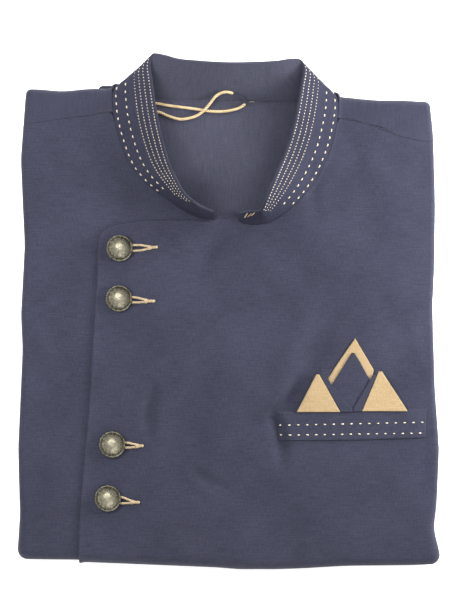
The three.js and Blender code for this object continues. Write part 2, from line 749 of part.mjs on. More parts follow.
function addMesh(name, geometry, material) {
  const mesh = new THREE.Mesh(geometry, materials[material]);
  mesh.name = name;
  garment.add(mesh);
}

// Where the panels may not reach, so that the collar keeps its seam
const seamLine = seamCurve.getPoints(90).map((point) => ({ x: point.x, y: point.y }));
seamLine.unshift({ x: seamLine[0].x + 2, y: seamLine[0].y });
seamLine.push({ x: seamLine[seamLine.length - 1].x - 2, y: seamLine[seamLine.length - 1].y });
const seamStrip = strip(seamLine, SEAM_CLEARANCE);
const neckLine = collarSections.map((row) => ({ x: row.seamX, y: row.seamY }));
const backNeck = neckLine.slice(FIRST_BACK_SECTION, LAST_BACK_SECTION + 1);
const sideNeckRight = neckLine.slice(0, FIRST_BACK_SECTION + 1);
const sideNeckLeft = neckLine.slice(LAST_BACK_SECTION);

const firstLayer = rolledWall(() => FIRST_LOW, () => FIRST_HIGH);

// Folded layers
addMesh('folded_layers', geometryFromSolid(coreSolid()), 'navy_cloth');

// Back: the sheet under the fronts, joined over the shoulders to its two yoke strips
const backOutline = [
  { x: -190, y: -230 },
  { x: 190, y: -230 },
  { x: 190, y: 230 },
  { x: backNeck[backNeck.length - 1].x, y: 230 },
  ...[...backNeck].reverse(),
  { x: backNeck[0].x, y: 230 },
  { x: -190, y: 230 },
];
const backNeckStrip = strip(backNeck, SEAM_CLEARANCE);
const backSheet = flatLayer(BACK_LOW, BACK_HIGH).intersect(prism(backOutline)).subtract(backNeckStrip);
const shoulderGap = GAP / 2;
const neckCornerLeft = neckLine[FIRST_BACK_SECTION];
const neckCornerRight = neckLine[LAST_BACK_SECTION];
const leftYoke = [
  ...leftShoulder.map((point) => ({ x: point.x, y: point.y + shoulderGap })),
  neckLine[FIRST_BACK_SECTION - 2],
  neckLine[FIRST_BACK_SECTION - 1],
  neckCornerLeft,
  { x: neckCornerLeft.x, y: 230 },
  { x: -190, y: 230 },
  { x: -190, y: leftShoulder[0].y + shoulderGap },
];
const rightYoke = [
  neckCornerRight,
  neckLine[LAST_BACK_SECTION + 1],
  ...rightShoulder.map((point) => ({ x: point.x, y: point.y + shoulderGap })),
  { x: 190, y: rightShoulder[rightShoulder.length - 1].y + shoulderGap },
  { x: 190, y: 230 },
  { x: neckCornerRight.x, y: 230 },
];
const foldBand = (fromX, toX) => [
  { x: fromX, y: readTable(topEdge, 'x', 'y', fromX) - SIDE_ROLL - FIRST_HIGH - 1.5 },
  { x: toX, y: readTable(topEdge, 'x', 'y', toX) - SIDE_ROLL - FIRST_HIGH - 1.5 },
  { x: toX, y: 230 },
  { x: fromX, y: 230 },
];
const thickFold = rolledWall(() => BACK_LOW, () => FIRST_HIGH);
const yokes = firstLayer.intersect(prism(leftYoke).add(prism(rightYoke)));
const foldStart = -162;
const foldEnd = 160;
const foldMargin = 2.4;
const folds = thickFold.intersect(
  prism(foldBand(foldStart, neckCornerLeft.x - foldMargin))
    .add(prism(foldBand(neckCornerRight.x + foldMargin, foldEnd))),
);
const backPiece = largestBody(backSheet.add(yokes.add(folds).subtract(seamStrip)));
addMesh('back', geometryFromSolid(backPiece), 'navy_cloth');

// Right front: the panel below the lap
const rightFrontOutline = [
  { x: -190, y: -230 },
  { x: underEdge[underEdge.length - 1].x, y: -230 },
  ...[...underEdge].reverse(),
  ...sideNeckRight.slice(1, FIRST_BACK_SECTION - 2),
  ...[...leftShoulder].reverse().map((point) => ({ x: point.x, y: point.y - shoulderGap })),
  { x: -190, y: leftShoulder[0].y - shoulderGap },
];
addMesh(
  'right_front',
  geometryFromSolid(firstLayer.intersect(prism(rightFrontOutline)).subtract(seamStrip)),
  'navy_cloth',
);

// Left front: the lap
const lapOutline = [
  { x: 190, y: -230 },
  { x: 190, y: rightShoulder[rightShoulder.length - 1].y - shoulderGap },
  ...[...rightShoulder].reverse().map((point) => ({ x: point.x, y: point.y - shoulderGap })),
  ...sideNeckLeft.slice(3),
  ...[...lapEdge].reverse(),
];
const lapLayer = rolledWall((x) => FIRST_LOW + lapRise(x), (x) => FIRST_HIGH + lapRise(x));
addMesh(
  'left_front',
  geometryFromSolid(lapLayer.intersect(prism(lapOutline)).subtract(seamStrip)),
  'navy_cloth',
);

// Collar: an outer and an inner wall
addMesh('collar_outer', geometryFromSolid(collarWall(GAP / 2, GAP / 2 + COLLAR_WALL)), 'navy_cloth');
addMesh('collar_inner', geometryFromSolid(collarWall(-GAP / 2 - COLLAR_WALL, -GAP / 2)), 'navy_cloth');

// Buttons and their cord loops
buttonTable.forEach((row, k) => {
  const profile = buttonProfile.map((point) => new THREE.Vector2(point.r, point.z));
  const button = new THREE.LatheGeometry(profile, 18);
  button.rotateX(Math.PI / 2);
  button.translate(row.x, row.y, lapTop(row.x, row.y));
  addMesh(row.name, button, 'aged_metal');

  const height = 0.35 + LOOP_CORD_RADIUS;
  const bend = BUTTON_SHANK_RADIUS + 0.4 + LOOP_CORD_RADIUS;
  const tilt = Math.atan2(row.joinY - row.y, row.joinX - row.x);
  const place = (along, across) => {
    const x = row.x + along * Math.cos(tilt) - across * Math.sin(tilt);
    const y = row.y + along * Math.sin(tilt) + across * Math.cos(tilt);
    return new THREE.Vector3(x, y, lapTop(x, y) + height);
  };
  const join = Math.hypot(row.joinX - row.x, row.joinY - row.y);
  const loopPath = [
    place(join + 1.5, 0.9),
    place(join - 2, 1.1),
    place(join - 7, row.spread - 0.2),
    place(11, row.spread),
    place(5, bend),
    place(0, bend),
    place(-bend * 0.75, bend * 0.75),
    place(-bend * 1.05, 0),
    place(-bend * 0.75, -bend * 0.75),
    place(0, -bend),
    place(5, -bend),
    place(11, -row.spread),
    place(join - 7, -row.spread + 0.2),
    place(join - 2, -1.1),
    place(join + 1.5, -0.9),
  ];
  const end = new THREE.Vector3(row.loopEndX, row.loopEndY, lapTop(row.loopEndX, row.loopEndY) + height);
  const stemLift = new THREE.Vector3(0, 0, STEM_RADIUS - LOOP_CORD_RADIUS);
  const stemPath = [place(join - 2, 0), place(join + 3, 0), end].map((point) => point.add(stemLift));
  const stem = tube(stemPath, STEM_RADIUS, 3);
  const loop = solidFromGeometry(tube(loopPath, LOOP_CORD_RADIUS, 26)).add(solidFromGeometry(stem));
  addMesh(`button_loop_${k + 1}`, geometryFromSolid(loop), 'tan_cord');
});

// Hanger loop in the back of the neck
const hangerPoints = hangerPath.map((row) => (
  new THREE.Vector3(row.x, row.y, coreTop(row.x, row.y) + row.lift)
));
addMesh('hanger_loop', tube(hangerPoints, CORD_RADIUS, 44), 'tan_cord');

// Pocket: the welt, tilted open at its top, and the folded square behind it
const weltLift = (x, y) => 0.35 + 0.35 * smoothStep(y, -100, -84);
addMesh(
  'pocket_welt',
  geometryFromSolid(laidPiece(weltOutline, weltLift, (x, y) => weltLift(x, y) + WELT_WALL, 8)),
  'navy_cloth',
);
for (const piece of squareTable) {
  const outline = piece.outline.map(([x, y]) => ({ x, y }));
  const solid = laidPiece(outline, () => piece.low, () => piece.low + SQUARE_WALL, 12);
  addMesh(piece.name, geometryFromSolid(solid), piece.material);
}

export default garment;
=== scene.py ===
# %% [markdown]
# # A folded sherwani, seen from above
#
# A sherwani is a long fitted coat with a standing collar. Here it lies folded face up, as in a
# shop: the skirts and the sleeves are folded under, and the chest, the collar and the pocket show.
# Each cut piece of cloth is made on its own here, as a thin closed wall of cloth.
#
# The solids of the part are loaded first.

import bpy
import numpy as np
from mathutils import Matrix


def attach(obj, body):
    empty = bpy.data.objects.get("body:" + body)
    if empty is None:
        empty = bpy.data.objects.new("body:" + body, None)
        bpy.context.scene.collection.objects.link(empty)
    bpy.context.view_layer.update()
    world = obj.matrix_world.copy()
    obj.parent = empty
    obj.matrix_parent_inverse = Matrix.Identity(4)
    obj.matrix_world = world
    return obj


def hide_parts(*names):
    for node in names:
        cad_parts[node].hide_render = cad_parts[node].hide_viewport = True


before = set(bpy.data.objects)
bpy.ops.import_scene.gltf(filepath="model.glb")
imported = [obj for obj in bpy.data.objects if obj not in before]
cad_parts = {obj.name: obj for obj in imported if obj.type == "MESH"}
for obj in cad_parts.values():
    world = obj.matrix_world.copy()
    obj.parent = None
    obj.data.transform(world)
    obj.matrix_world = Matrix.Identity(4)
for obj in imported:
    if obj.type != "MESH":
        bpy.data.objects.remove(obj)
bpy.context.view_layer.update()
MM = 0.001

# %% [markdown]
# ## The camera
#
# The garment was photographed from straight above. A camera without any turn looks down in
# Blender, with +Y up in the picture, so only its place and its lens have to be set. It stands
# high above the cloth with a long lens, because a short one would lean the collar outwards.

# %% Camera
IMAGE_HEIGHT = 600
CAMERA_PLACE = (-0.0033, 0.0107, 1.50)
CLOTH_HEIGHT = 0.020
VIEW_HEIGHT = 0.492
SENSOR_HEIGHT = 24.0

camera_data = bpy.data.cameras.new("overhead")
camera_data.sensor_fit = "VERTICAL"
camera_data.sensor_height = SENSOR_HEIGHT
camera_data.lens = SENSOR_HEIGHT * (CAMERA_PLACE[2] - CLOTH_HEIGHT) / VIEW_HEIGHT
camera = bpy.data.objects.new("overhead", camera_data)
camera.location = CAMERA_PLACE
bpy.context.scene.collection.objects.link(camera)
bpy.context.scene.camera = camera
print(f"lens {camera_data.lens:.1f} mm, {VIEW_HEIGHT * 1000 / IMAGE_HEIGHT:.2f} mm of cloth a pixel")

# %% [markdown]
# ## The lie of the folded cloth
#
# All the upper pieces lie on one pack of folded layers, so they share one surface. It is a low
# crown with soft troughs and ridges on it. Each one is a line with a half width and a height,
# placed where the cloth has a crease. A piece then only needs its height over that surface, and
# two pieces that lie on each other can never cut into each other.

# %% The shared surface
EDGE_HEIGHT = 15.0
CROWN = 4.4
CROWN_POWER = 0.8
CROWN_HALF_WIDTH = 182.0
CROWN_HALF_LENGTH = 216.0
SIDE_ROLL = 1.6
HEM_ROLL = 4.9
HEM_ROLL_START = -145.0
HEM_ROLL_FULL = -195.0
RUN_OUT = 0.2

# One row a crease in mm: from x, y to x, y, half width, height, bend of its middle
CREASES = np.array([
    [-20, 52, 62, -34, 24, -1.6, 0],
    [-58, 20, 20, -92, 26, 1.2, 0],
    [-104, -168, -40, -60, 24, -1.0, 0],
    [60, 70, 140, 10, 26, 1.2, 0],
    [-10, -185, 20, -112, 24, -1.4, 0],
    [92, -188, 60, -128, 20, 1.0, 0],
    [-135, 120, -118, 20, 18, 0.9, 0],
    [128, 128, 96, 74, 22, -1.0, 0],
    [-146, -60, -140, 10, 14, -0.9, 0],
])
FINE_CREASES = np.array([
    [80, -32, 48, -74, 7, -4.3, 4],
    [86, -6, 60, -44, 9, -1.5, 3],
    [68, -8, 42, -50, 8, 1.3, 3],
    [58, -56, 36, -82, 6, -3.8, -3],
    [138, 26, 20, -92, 12, 2.0, 8],
    [36, -84, 2, -106, 6.5, -4.0, 3],
    [36, -82, 43, -124, 5.5, -4.5, -2],
    [6, 66, -24, 44, 7, -3.2, 3],
    [-34, -44, -62, -120, 11, 1.8, 5],
    [-62, -60, -67, -98, 5, -4.2, 1],
    [70, 108, 72, 78, 6, -1.6, 2],
    [-162, -6, -140, -40, 7, 1.1, 3],
    [-166, -40, -138, -66, 7, -1.1, 2],
    [66, -168, 66, -208, 7, 0.8, 2],
    [163, -70, 161, -130, 5, -0.9, 1],
    [-150, 140, -118, 96, 9, -0.9, 4],
    [-128, -150, -150, -196, 9, 0.8, 4],
    [112, 132, 150, 96, 10, 0.9, 5],
    [-40, -150, 10, -196, 12, 0.8, 6],
    [120, -120, 158, -190, 12, -0.9, 5],
    [-100, 158, -112, 116, 7, -1.5, 3],
    [97, 150, 104, 112, 8, -1.0, -3],
    [-20, -8, -50, -40, 9, -0.8, 4],
    [-150, -100, -160, -160, 8, -0.9, 2],
    [-98, 116, -62, 86, 7, -1.3, -4],
    [60, 72, 96, 108, 8, -1.5, 4],
    [10, 62, -6, 24, 7, -1.0, -2],
    [28, 64, 34, 28, 9, 0.8, 2],
    [-158, 60, -150, 18, 6, 0.7, 2],
    [150, -10, 164, -52, 6, 0.8, 2],
    [118, 20, 150, -20, 8, -0.7, 3],
    [-28, -130, -6, -142, 5, -2.4, 2],
    [-8, 20, -70, -44, 12, 1.6, 6],
    [10, 18, -30, -30, 8, -1.6, 4],
    [-118, 40, -128, -40, 9, 0.9, 3],
    [66, 120, 58, 92, 6, 1.0, 2],
])
# Slow unevenness of hand-folded cloth: wave numbers in 1/mm, phase and height in mm
RIPPLES = np.array([
    [0.071, 0.052, 0.3, 0.16],
    [-0.094, 0.061, 1.7, 0.13],
    [0.043, -0.118, 2.9, 0.12],
    [0.160, 0.085, 4.1, 0.06],
    [-0.121, 0.172, 5.2, 0.05],
    [0.212, -0.140, 0.9, 0.04],
])


def smooth_step(value, low, high):
    """0 below low, 1 above high, and 3t^2 - 2t^3 between them"""
    share = np.clip((value - low) / (high - low), 0, 1)
    return share * share * (3 - 2 * share)


def hill(distance, width):
    """exp(-(distance / width)^2), which is 1 at no distance and almost 0 at two widths"""
    return np.exp(-((distance / width) ** 2))


def crease_field(x, y, rows, tapered=False):
    """Sum of height * hill(across, width) * run out over the lines, where across is the distance
    from the bent line. The run out is hill(past, width), where past is how far a point lies beyond
    the ends, or 4 t (1 - t) for a tapered line, which runs out a little past its ends"""
    height = np.zeros(np.broadcast(x, y).shape)
    for x1, y1, x2, y2, width, rise, bend in rows:
        length = np.hypot(x2 - x1, y2 - y1)
        along = ((x - x1) * (x2 - x1) + (y - y1) * (y2 - y1)) / length**2
        across = ((x - x1) * (y2 - y1) - (y - y1) * (x2 - x1)) / length
        across = across - bend * (1 - (2 * np.clip(along, 0, 1) - 1) ** 2)
        past = np.maximum(0, np.maximum(-along, along - 1)) * length
        share = np.clip((along + RUN_OUT) / (1 + 2 * RUN_OUT), 0, 1)
        run_out = 4 * share * (1 - share) if tapered else hill(past, width)
        height = height + rise * hill(across, width) * run_out
    return height


def roll_radius(y):
    """The fold is tight along the sides and full along the hem"""
    return SIDE_ROLL + (HEM_ROLL - SIDE_ROLL) * (1 - smooth_step(y, HEM_ROLL_FULL, HEM_ROLL_START))


def core_top(x, y):
    """Height of the folded pack: edge height + crown * (1 - (x/a)^2)^0.8 * (1 - (y/b)^2)^0.8,
    with the creases and the ripples, which fade towards the edge"""
    across = np.maximum(0, 1 - (x / CROWN_HALF_WIDTH) ** 2)
    along = np.maximum(0, 1 - (y / CROWN_HALF_LENGTH) ** 2)
    fade = np.minimum(1, np.minimum(4 * across, 4 * along))
    uneven = crease_field(x, y, CREASES) + crease_field(x, y, FINE_CREASES, tapered=True)
    for wave_x, wave_y, phase, rise in RIPPLES:
        uneven = uneven + rise * np.sin(wave_x * x + wave_y * y + phase)
    return EDGE_HEIGHT + CROWN * across**CROWN_POWER * along**CROWN_POWER + uneven * fade


def on_pack(path):
    """Points from rows of x, y and height over the pack"""
    return np.column_stack((path[:, :2], core_top(*path[:, :2].T) + path[:, 2]))


print(f"height in the middle {float(core_top(np.array(0.0), np.array(0.0))):.1f} mm")

# %% [markdown]
# ## Lines that the pieces share
#
# The pack's outline, the seams and the collar are short tables of points in millimetres. A table
# read in straight lines has corners, so it is read several times in a short window and the
# readings are averaged. The collar's two edges are smooth curves through their points, with steps
# that grow with the root of the distance, which keeps a curve from swinging between close points.

# %% Tables and curves
LEFT_EDGE = [(-215, -173.5), (-196, -174.6), (-166, -172.2), (-112, -173.6), (-30, -170.0), (-1, -171.2),
             (56, -168.2), (88, -169.8), (127, -171.4), (182, -167.3), (195, -166.0)]
RIGHT_EDGE = [(-215, 174.6), (-199, 174.2), (-178, 168.9), (-158, 171.0), (-112, 173.0), (-60, 169.3),
              (7, 167.4), (38, 168.9), (88, 169.7), (146, 168.2), (171, 165.6), (190, 163.0)]
TOP_EDGE = [(-180, 184.4), (-160, 184.4), (-137, 182.4), (-115, 184.5), (-94, 184.6), (88, 178.2),
            (120, 175.0), (146, 174.8), (180, 173.0)]
BOTTOM_EDGE = [(-180, -203.0), (-123, -203.6), (-68, -205.8), (-11, -208.2), (34, -211.6), (58, -210.8),
               (96, -208.6), (146, -208.2), (180, -207.2)]
LEFT_SHOULDER = [(-176, 153.4), (-154.3, 156.5), (-137.6, 159.3), (-112.5, 162.3), (-97.0, 164.6)]
RIGHT_SHOULDER = [(90.0, 159.8), (105.0, 156.4), (116.8, 152.8), (129.3, 149.0), (141.9, 144.6),
                  (154.4, 141.4), (178, 139.4)]
LAP_SIDE = [(-225, -124.3), (-169.7, -122.4), (-129.6, -119.3), (-71.3, -114.0), (-13.1, -110.7),
            (18.9, -108.2), (60.0, -106.6)]
LAP_TOP = [(-106.6, 60.0), (-105.8, 63.4), (-103.4, 67.2), (-94.3, 71.4), (-78.2, 74.4), (-63.6, 75.4),
           (-34.4, 76.0), (-19.7, 75.2), (-11.0, 76.0), (-8.6, 78.2), (-6.4, 81.6), (-3.0, 83.2),
           (1.0, 83.2), (5.0, 81.8), (7.4, 78.6), (8.2, 75.0)]
UNDER_EDGE = [(-225, 0.0), (-60, 0.0), (40, -4.0), (74, -9.0), (78.6, -13.1)]
# Seam x and y, height of the seam over the pack, edge x and y, rise of the edge
COLLAR = np.array([
    [-13.1, 78.6, 3.0, -11.8, 82.2, 9],
    [-19.7, 78.4, 3.0, -17.2, 84.2, 17],
    [-27.1, 80.0, 3.1, -23.2, 86.4, 27],
    [-35.6, 84.4, 3.2, -29.4, 90.2, 34],
    [-46.0, 91.0, 3.2, -36.4, 96.6, 37],
    [-58.2, 99.4, 3.1, -42.4, 107.4, 35],
    [-70.9, 109.6, 3.0, -47.6, 118.8, 30],
    [-80.8, 121.4, 3.0, -51.6, 131.8, 26],
    [-89.6, 143.0, 3.0, -56.0, 149.6, 22],
    [-93.9, 159.9, 3.0, -58.6, 162.8, 20],
    [-95.2, 172.2, 3.0, -60.6, 175.6, 19],
    [-95.0, 180.6, 3.0, -62.6, 190.0, 19],
    [-92.6, 185.0, 3.0, -64.0, 202.4, 18],
    [-86.6, 184.6, 2.8, -61.0, 210.2, 18],
    [-75.8, 180.4, 2.4, -53.0, 209.4, 19],
    [-59.0, 176.8, 2.1, -41.3, 206.0, 21],
    [-32.0, 175.7, 2.0, -23.4, 203.6, 24],
    [-2.5, 175.1, 2.0, -0.9, 202.2, 25],
    [27.1, 174.5, 2.0, 21.7, 202.8, 24],
    [53.3, 174.4, 2.1, 39.0, 204.2, 21],
    [69.6, 176.0, 2.4, 49.6, 206.0, 19],
    [81.0, 178.9, 2.8, 57.0, 205.4, 18],
    [87.2, 177.8, 3.0, 60.2, 198.8, 18],
    [89.2, 171.0, 3.0, 58.4, 185.6, 19],
    [88.6, 159.4, 3.0, 55.8, 169.8, 20],
    [86.1, 147.1, 3.0, 52.6, 154.2, 21],
    [82.6, 134.2, 3.0, 48.8, 140.4, 22],
    [77.6, 121.8, 3.0, 44.4, 128.0, 23],
    [71.0, 110.0, 3.0, 40.0, 117.4, 26],
    [62.6, 98.6, 3.1, 35.8, 107.2, 30],
    [52.6, 88.4, 3.2, 32.0, 98.0, 34],
    [42.2, 80.6, 3.2, 29.0, 90.2, 36],
    [32.8, 75.4, 3.1, 26.0, 83.4, 33],
    [23.4, 73.2, 3.0, 22.2, 82.4, 24],
    [14.8, 73.4, 3.0, 15.2, 82.6, 16],
    [8.2, 75.2, 3.0, 9.0, 81.4, 9],
])
SECTIONS = len(COLLAR) - 1
FIRST_BACK_SECTION = 12
LAST_BACK_SECTION = 22


def soft_table(table, reach=5.0):
    """A reader of a table whose answer is the mean of seven readings within the reach"""
    places, values = np.array(table, dtype=float).T
    shifts = np.linspace(-reach, reach, 7)
    return lambda along: sum(np.interp(along + shift, places, values) for shift in shifts) / 7


def rising(points):
    """A table reader over points whose first column is put in rising order"""
    points = np.asarray(points, dtype=float)
    places = np.maximum.accumulate(points[:, 0] + np.arange(len(points)) * 1e-6)
    return lambda along: np.interp(along, places, points[:, 1])


def unit(vectors):
    """The same directions with length 1"""
    return vectors / np.linalg.norm(vectors, axis=-1, keepdims=True)


def travelled_along(line):
    """The distance from the start of a line of points to each of them"""
    return np.concatenate(([0], np.cumsum(np.linalg.norm(np.diff(line, axis=0), axis=1))))


def smooth_curve(points, places):
    """Points of a cubic curve through the given points, at places from 0 to 1. Each stretch is a
    Hermite cubic whose slopes come from its neighbours, with steps of distance^0.5"""
    points = np.asarray(points, dtype=float)
    ends = np.vstack((2 * points[0] - points[1], points, 2 * points[-1] - points[-2]))
    along = np.clip(np.asarray(places, dtype=float), 0, 1) * (len(points) - 1)
    stretch = np.minimum(along.astype(int), len(points) - 2)
    share = (along - stretch)[:, None]
    p0, p1, p2, p3 = (ends[stretch + k] for k in range(4))
    pairs = ((p0, p1), (p1, p2), (p2, p3))
    d0, d1, d2 = (np.sqrt(np.linalg.norm(b - a, axis=1))[:, None] for a, b in pairs)
    start = ((p1 - p0) / d0 - (p2 - p0) / (d0 + d1) + (p2 - p1) / d1) * d1
    end = ((p2 - p1) / d1 - (p3 - p1) / (d1 + d2) + (p3 - p2) / d2) * d1
    cubic = 2 * p1 - 2 * p2 + start + end
    square = -3 * p1 + 3 * p2 - 2 * start - end
    return p1 + start * share + square * share**2 + cubic * share**3


def collar_middle(u, v):
    """The ruled surface (1 - v) seam(u) + v edge(u), with its unit normal to the outside"""
    v = np.asarray(v)[None, :, None]
    step = 0.004
    seam, edge = (smooth_curve(points, u)[:, None] for points in (seam_points, edge_points))
    seam_ahead, edge_ahead = (
        (smooth_curve(points, u + step) - smooth_curve(points, u - step))[:, None]
        for points in (seam_points, edge_points)
    )
    ahead = seam_ahead + (edge_ahead - seam_ahead) * v
    return seam + (edge - seam) * v, unit(np.cross(edge - seam, ahead))


seam_points = on_pack(COLLAR[:, :3])
edge_points = np.column_stack((COLLAR[:, 3:5], seam_points[:, 2] + COLLAR[:, 5]))
seam_line = smooth_curve(seam_points, np.linspace(0, 1, 300))
print(f"neck seam {travelled_along(seam_line)[-1]:.0f} mm long")

# %% [markdown]
# ## Turning numbers into meshes
#
# numpy works out all the points of a surface at once. Two kinds of surface are enough here: a
# wall of cloth, which is two grids that meet along their border, and a tube, which is a grid that
# closes round on itself, with a point at each end. Each mesh also gets a UV map in metres of
# cloth, so that the weave follows the cloth and not the room.

# %% Mesh helpers
def make_piece(name, points, faces, flat, material):
    """A mesh object from points in mm, faces, and the flat place of each point in mm"""
    mesh = bpy.data.meshes.new(name)
    mesh.from_pydata((np.asarray(points) * MM).tolist(), [], faces)
    layer = mesh.uv_layers.new(name="cloth")
    corners = np.empty(len(mesh.loops), dtype=np.int32)
    mesh.loops.foreach_get("vertex_index", corners)
    layer.data.foreach_set("uv", (np.asarray(flat)[corners] * MM).ravel())
    mesh.polygons.foreach_set("use_smooth", np.ones(len(mesh.polygons), dtype=bool))
    mesh.materials.append(material)
    piece = bpy.data.objects.new(name, mesh)
    bpy.context.scene.collection.objects.link(piece)
    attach(piece, "root")
    return piece


def grid_quads(index):
    """Quads of a grid of point numbers, facing up where x grows along a row and y over the rows"""
    return np.stack((index[:-1, :-1], index[:-1, 1:], index[1:, 1:], index[1:, :-1]), axis=-1).reshape(-1, 4)


def wall_mesh(upper, lower, flat):
    """Points, faces and flat places of two grids that share their border points"""
    rows, columns = upper.shape[:2]
    top = np.arange(rows * columns).reshape(rows, columns)
    low = top.copy()
    low[1:-1, 1:-1] = rows * columns + np.arange((rows - 2) * (columns - 2)).reshape(rows - 2, columns - 2)
    points = np.vstack((upper.reshape(-1, 3), lower[1:-1, 1:-1].reshape(-1, 3)))
    places = np.vstack((flat.reshape(-1, 2), flat[1:-1, 1:-1].reshape(-1, 2)))
    faces = np.vstack((grid_quads(top), grid_quads(low)[:, ::-1]))
    return points, faces.tolist(), places


def tube_mesh(rings, flat):
    """Points and faces of rings of points that follow each other, closed by a point at each end"""
    count, sides = rings.shape[:2]
    index = np.arange(count * sides).reshape(count, sides)
    around = np.hstack((index, index[:, :1]))
    first, last = count * sides, count * sides + 1
    points = np.vstack((rings.reshape(-1, 3), rings[0].mean(axis=0), rings[-1].mean(axis=0)))
    places = np.vstack((flat.reshape(-1, 2), flat[0].mean(axis=0), flat[-1].mean(axis=0)))
    faces = grid_quads(around).tolist()
    faces += np.column_stack((np.full(sides, first), around[0, 1:], around[0, :-1])).tolist()
    faces += np.column_stack((np.full(sides, last), around[-1, :-1], around[-1, 1:])).tolist()
    return points, faces, places


def join_meshes(*meshes):
    """Several meshes as one list of points, faces and flat places"""
    points, faces, places = [], [], []
    count = 0
    for part_points, part_faces, part_places in meshes:
        points.append(part_points)
        places.append(part_places)
        faces += [[index + count for index in face] for face in part_faces]
        count += len(part_points)
    return np.vstack(points), faces, np.vstack(places)


def rounded(edge):
    """A quarter circle: 0 at an edge, and 1 from one unit inside it"""
    return np.sqrt(1 - (1 - np.clip(edge, 0, 1)) ** 2)


def half_area(piece):
    """Area of one side of a closed wall, in square metres"""
    areas = np.empty(len(piece.data.polygons))
    piece.data.polygons.foreach_get("area", areas)
    return float(areas.sum()) / 2


print("mesh helpers ready")

# %% [markdown]
# ## A way to write materials as sums
#
# Shader nodes do arithmetic, but a tree of Math nodes is hard to read. A small class that holds a
# socket can overload plus, minus, times and divide, and then a pattern is one line of Python. Any
# other node comes from one method that takes its type, its settings and its inputs.

# %% Shader helpers
class Wire:
    """A number in a node tree that can be used in sums"""

    def __init__(self, shop, socket):
        self.shop = shop
        self.socket = socket

    def sum(self, operation, *values):
        node = self.shop.node("ShaderNodeMath", {"operation": operation}, dict(enumerate(values)))
        return Wire(self.shop, node.outputs[0])

    def __add__(self, other):
        return self.sum("ADD", self, other)

    __radd__ = __add__

    def __sub__(self, other):
        return self.sum("SUBTRACT", self, other)

    def __rsub__(self, other):
        return self.sum("SUBTRACT", other, self)

    def __mul__(self, other):
        return self.sum("MULTIPLY", self, other)

    def __truediv__(self, other):
        return self.sum("DIVIDE", self, other)

    def __pow__(self, other):
        return self.sum("POWER", self, other)

    def wave(self):
        return self.sum("SINE", self)

    def size(self):
        return self.sum("ABSOLUTE", self)

    def held(self):
        """No more than 1 and no less than 0"""
        return self.sum("MAXIMUM", self.sum("MINIMUM", self, 1.0), 0.0)


class Finish:
    """One material with its shader and its nodes"""

    def __init__(self, name, colour, roughness, metallic=0.0):
        self.material = bpy.data.materials.new(name)
        self.material.use_nodes = True
        self.material.diffuse_color = (*colour, 1)
        self.tree = self.material.node_tree
        self.shader = self.tree.nodes["Principled BSDF"]
        self.shader.inputs["Base Color"].default_value = (*colour, 1)
        self.shader.inputs["Roughness"].default_value = roughness
        self.shader.inputs["Metallic"].default_value = metallic

    def node(self, kind, settings, inputs):
        """A new node: its settings are set first, then the values or links of its sockets"""
        node = self.tree.nodes.new(kind)
        for key, value in settings.items():
            setattr(node, key, value)
        for key, value in inputs.items():
            self.feed(node.inputs[key], value)
        return node

    def feed(self, socket, value):
        if isinstance(value, Wire):
            self.tree.links.new(value.socket, socket)
        elif isinstance(value, bpy.types.NodeSocket):
            self.tree.links.new(value, socket)
        else:
            socket.default_value = value

    def cloth_place(self):
        """The flat place on the cloth in metres, as a vector and as its two numbers"""
        place = self.node("ShaderNodeUVMap", {"uv_map": "cloth"}, {}).outputs["UV"]
        apart = self.node("ShaderNodeSeparateXYZ", {}, {"Vector": place})
        return place, Wire(self, apart.outputs["X"]), Wire(self, apart.outputs["Y"])

    def noise(self, vector, scale, detail=2.0, roughness=0.5):
        node = self.node(
            "ShaderNodeTexNoise", {"noise_dimensions": "3D"},
            {"Vector": vector, "Scale": scale, "Detail": detail, "Roughness": roughness},
        )
        return Wire(self, node.outputs["Fac"])

    def stretched(self, vector, factors):
        node = self.node("ShaderNodeVectorMath", {"operation": "MULTIPLY"}, {0: vector, 1: factors})
        return node.outputs["Vector"]

    def mix(self, factor, first, second):
        """A colour between two others, each of which is three numbers or a socket"""
        first, second = ((*end, 1) if isinstance(end, tuple) else end for end in (first, second))
        node = self.node("ShaderNodeMix", {"data_type": "RGBA"}, {"Factor": factor, 6: first, 7: second})
        return node.outputs[2]

    def bump(self, height, distance, strength):
        values = {"Strength": strength, "Distance": distance, "Height": height}
        node = self.node("ShaderNodeBump", {}, values)
        self.feed(self.shader.inputs["Normal"], node.outputs["Normal"])


print("shader helpers ready")

# %% [markdown]
# ## Finishes
#
# The coat is a dull navy cloth with uneven yarns: thicker stretches, called slubs, run across it
# as faint darker and lighter streaks. Noise that is stretched along the width gives them, and
# finer noise in both directions gives the threads. The trim is a tan cotton. The buttons are cast
# metal with a hammered dome and dark patina in its hollows; the dome is painted lighter towards its
# middle and on the rim, partly rubbed wear and partly a painted highlight.

# %% Cloth finishes
NAVY_DARK, NAVY_LIGHT = (0.0132, 0.0139, 0.0252), (0.0416, 0.0431, 0.0680)
COLLAR_DARK, COLLAR_LIGHT = (0.0136, 0.0142, 0.0258), (0.0412, 0.0425, 0.0668)
# Painted light: a lighter copy of the navy, for the cloth inside the neck and the collar's inner layer,
# which lie in the collar's shade
PAINTED_LIT_NAVY_DARK, PAINTED_LIT_NAVY_LIGHT = (0.0225, 0.0233, 0.0380), (0.0660, 0.0675, 0.0960)
TAN_DARK, TAN_LIGHT = (0.215, 0.147, 0.074), (0.393, 0.295, 0.167)
# How much the slub noise is squeezed along and across the cloth, for slubs each way
SLUBS_ACROSS, SLUBS_UPRIGHT = (80.0, 1000.0, 0.0), (1000.0, 80.0, 0.0)
# Where the lighter copy is painted on the back: below the nape and within this distance of the middle line,
# in metres on the cloth
NAPE_PLACE = 0.1775
NECK_SIDE = 0.089


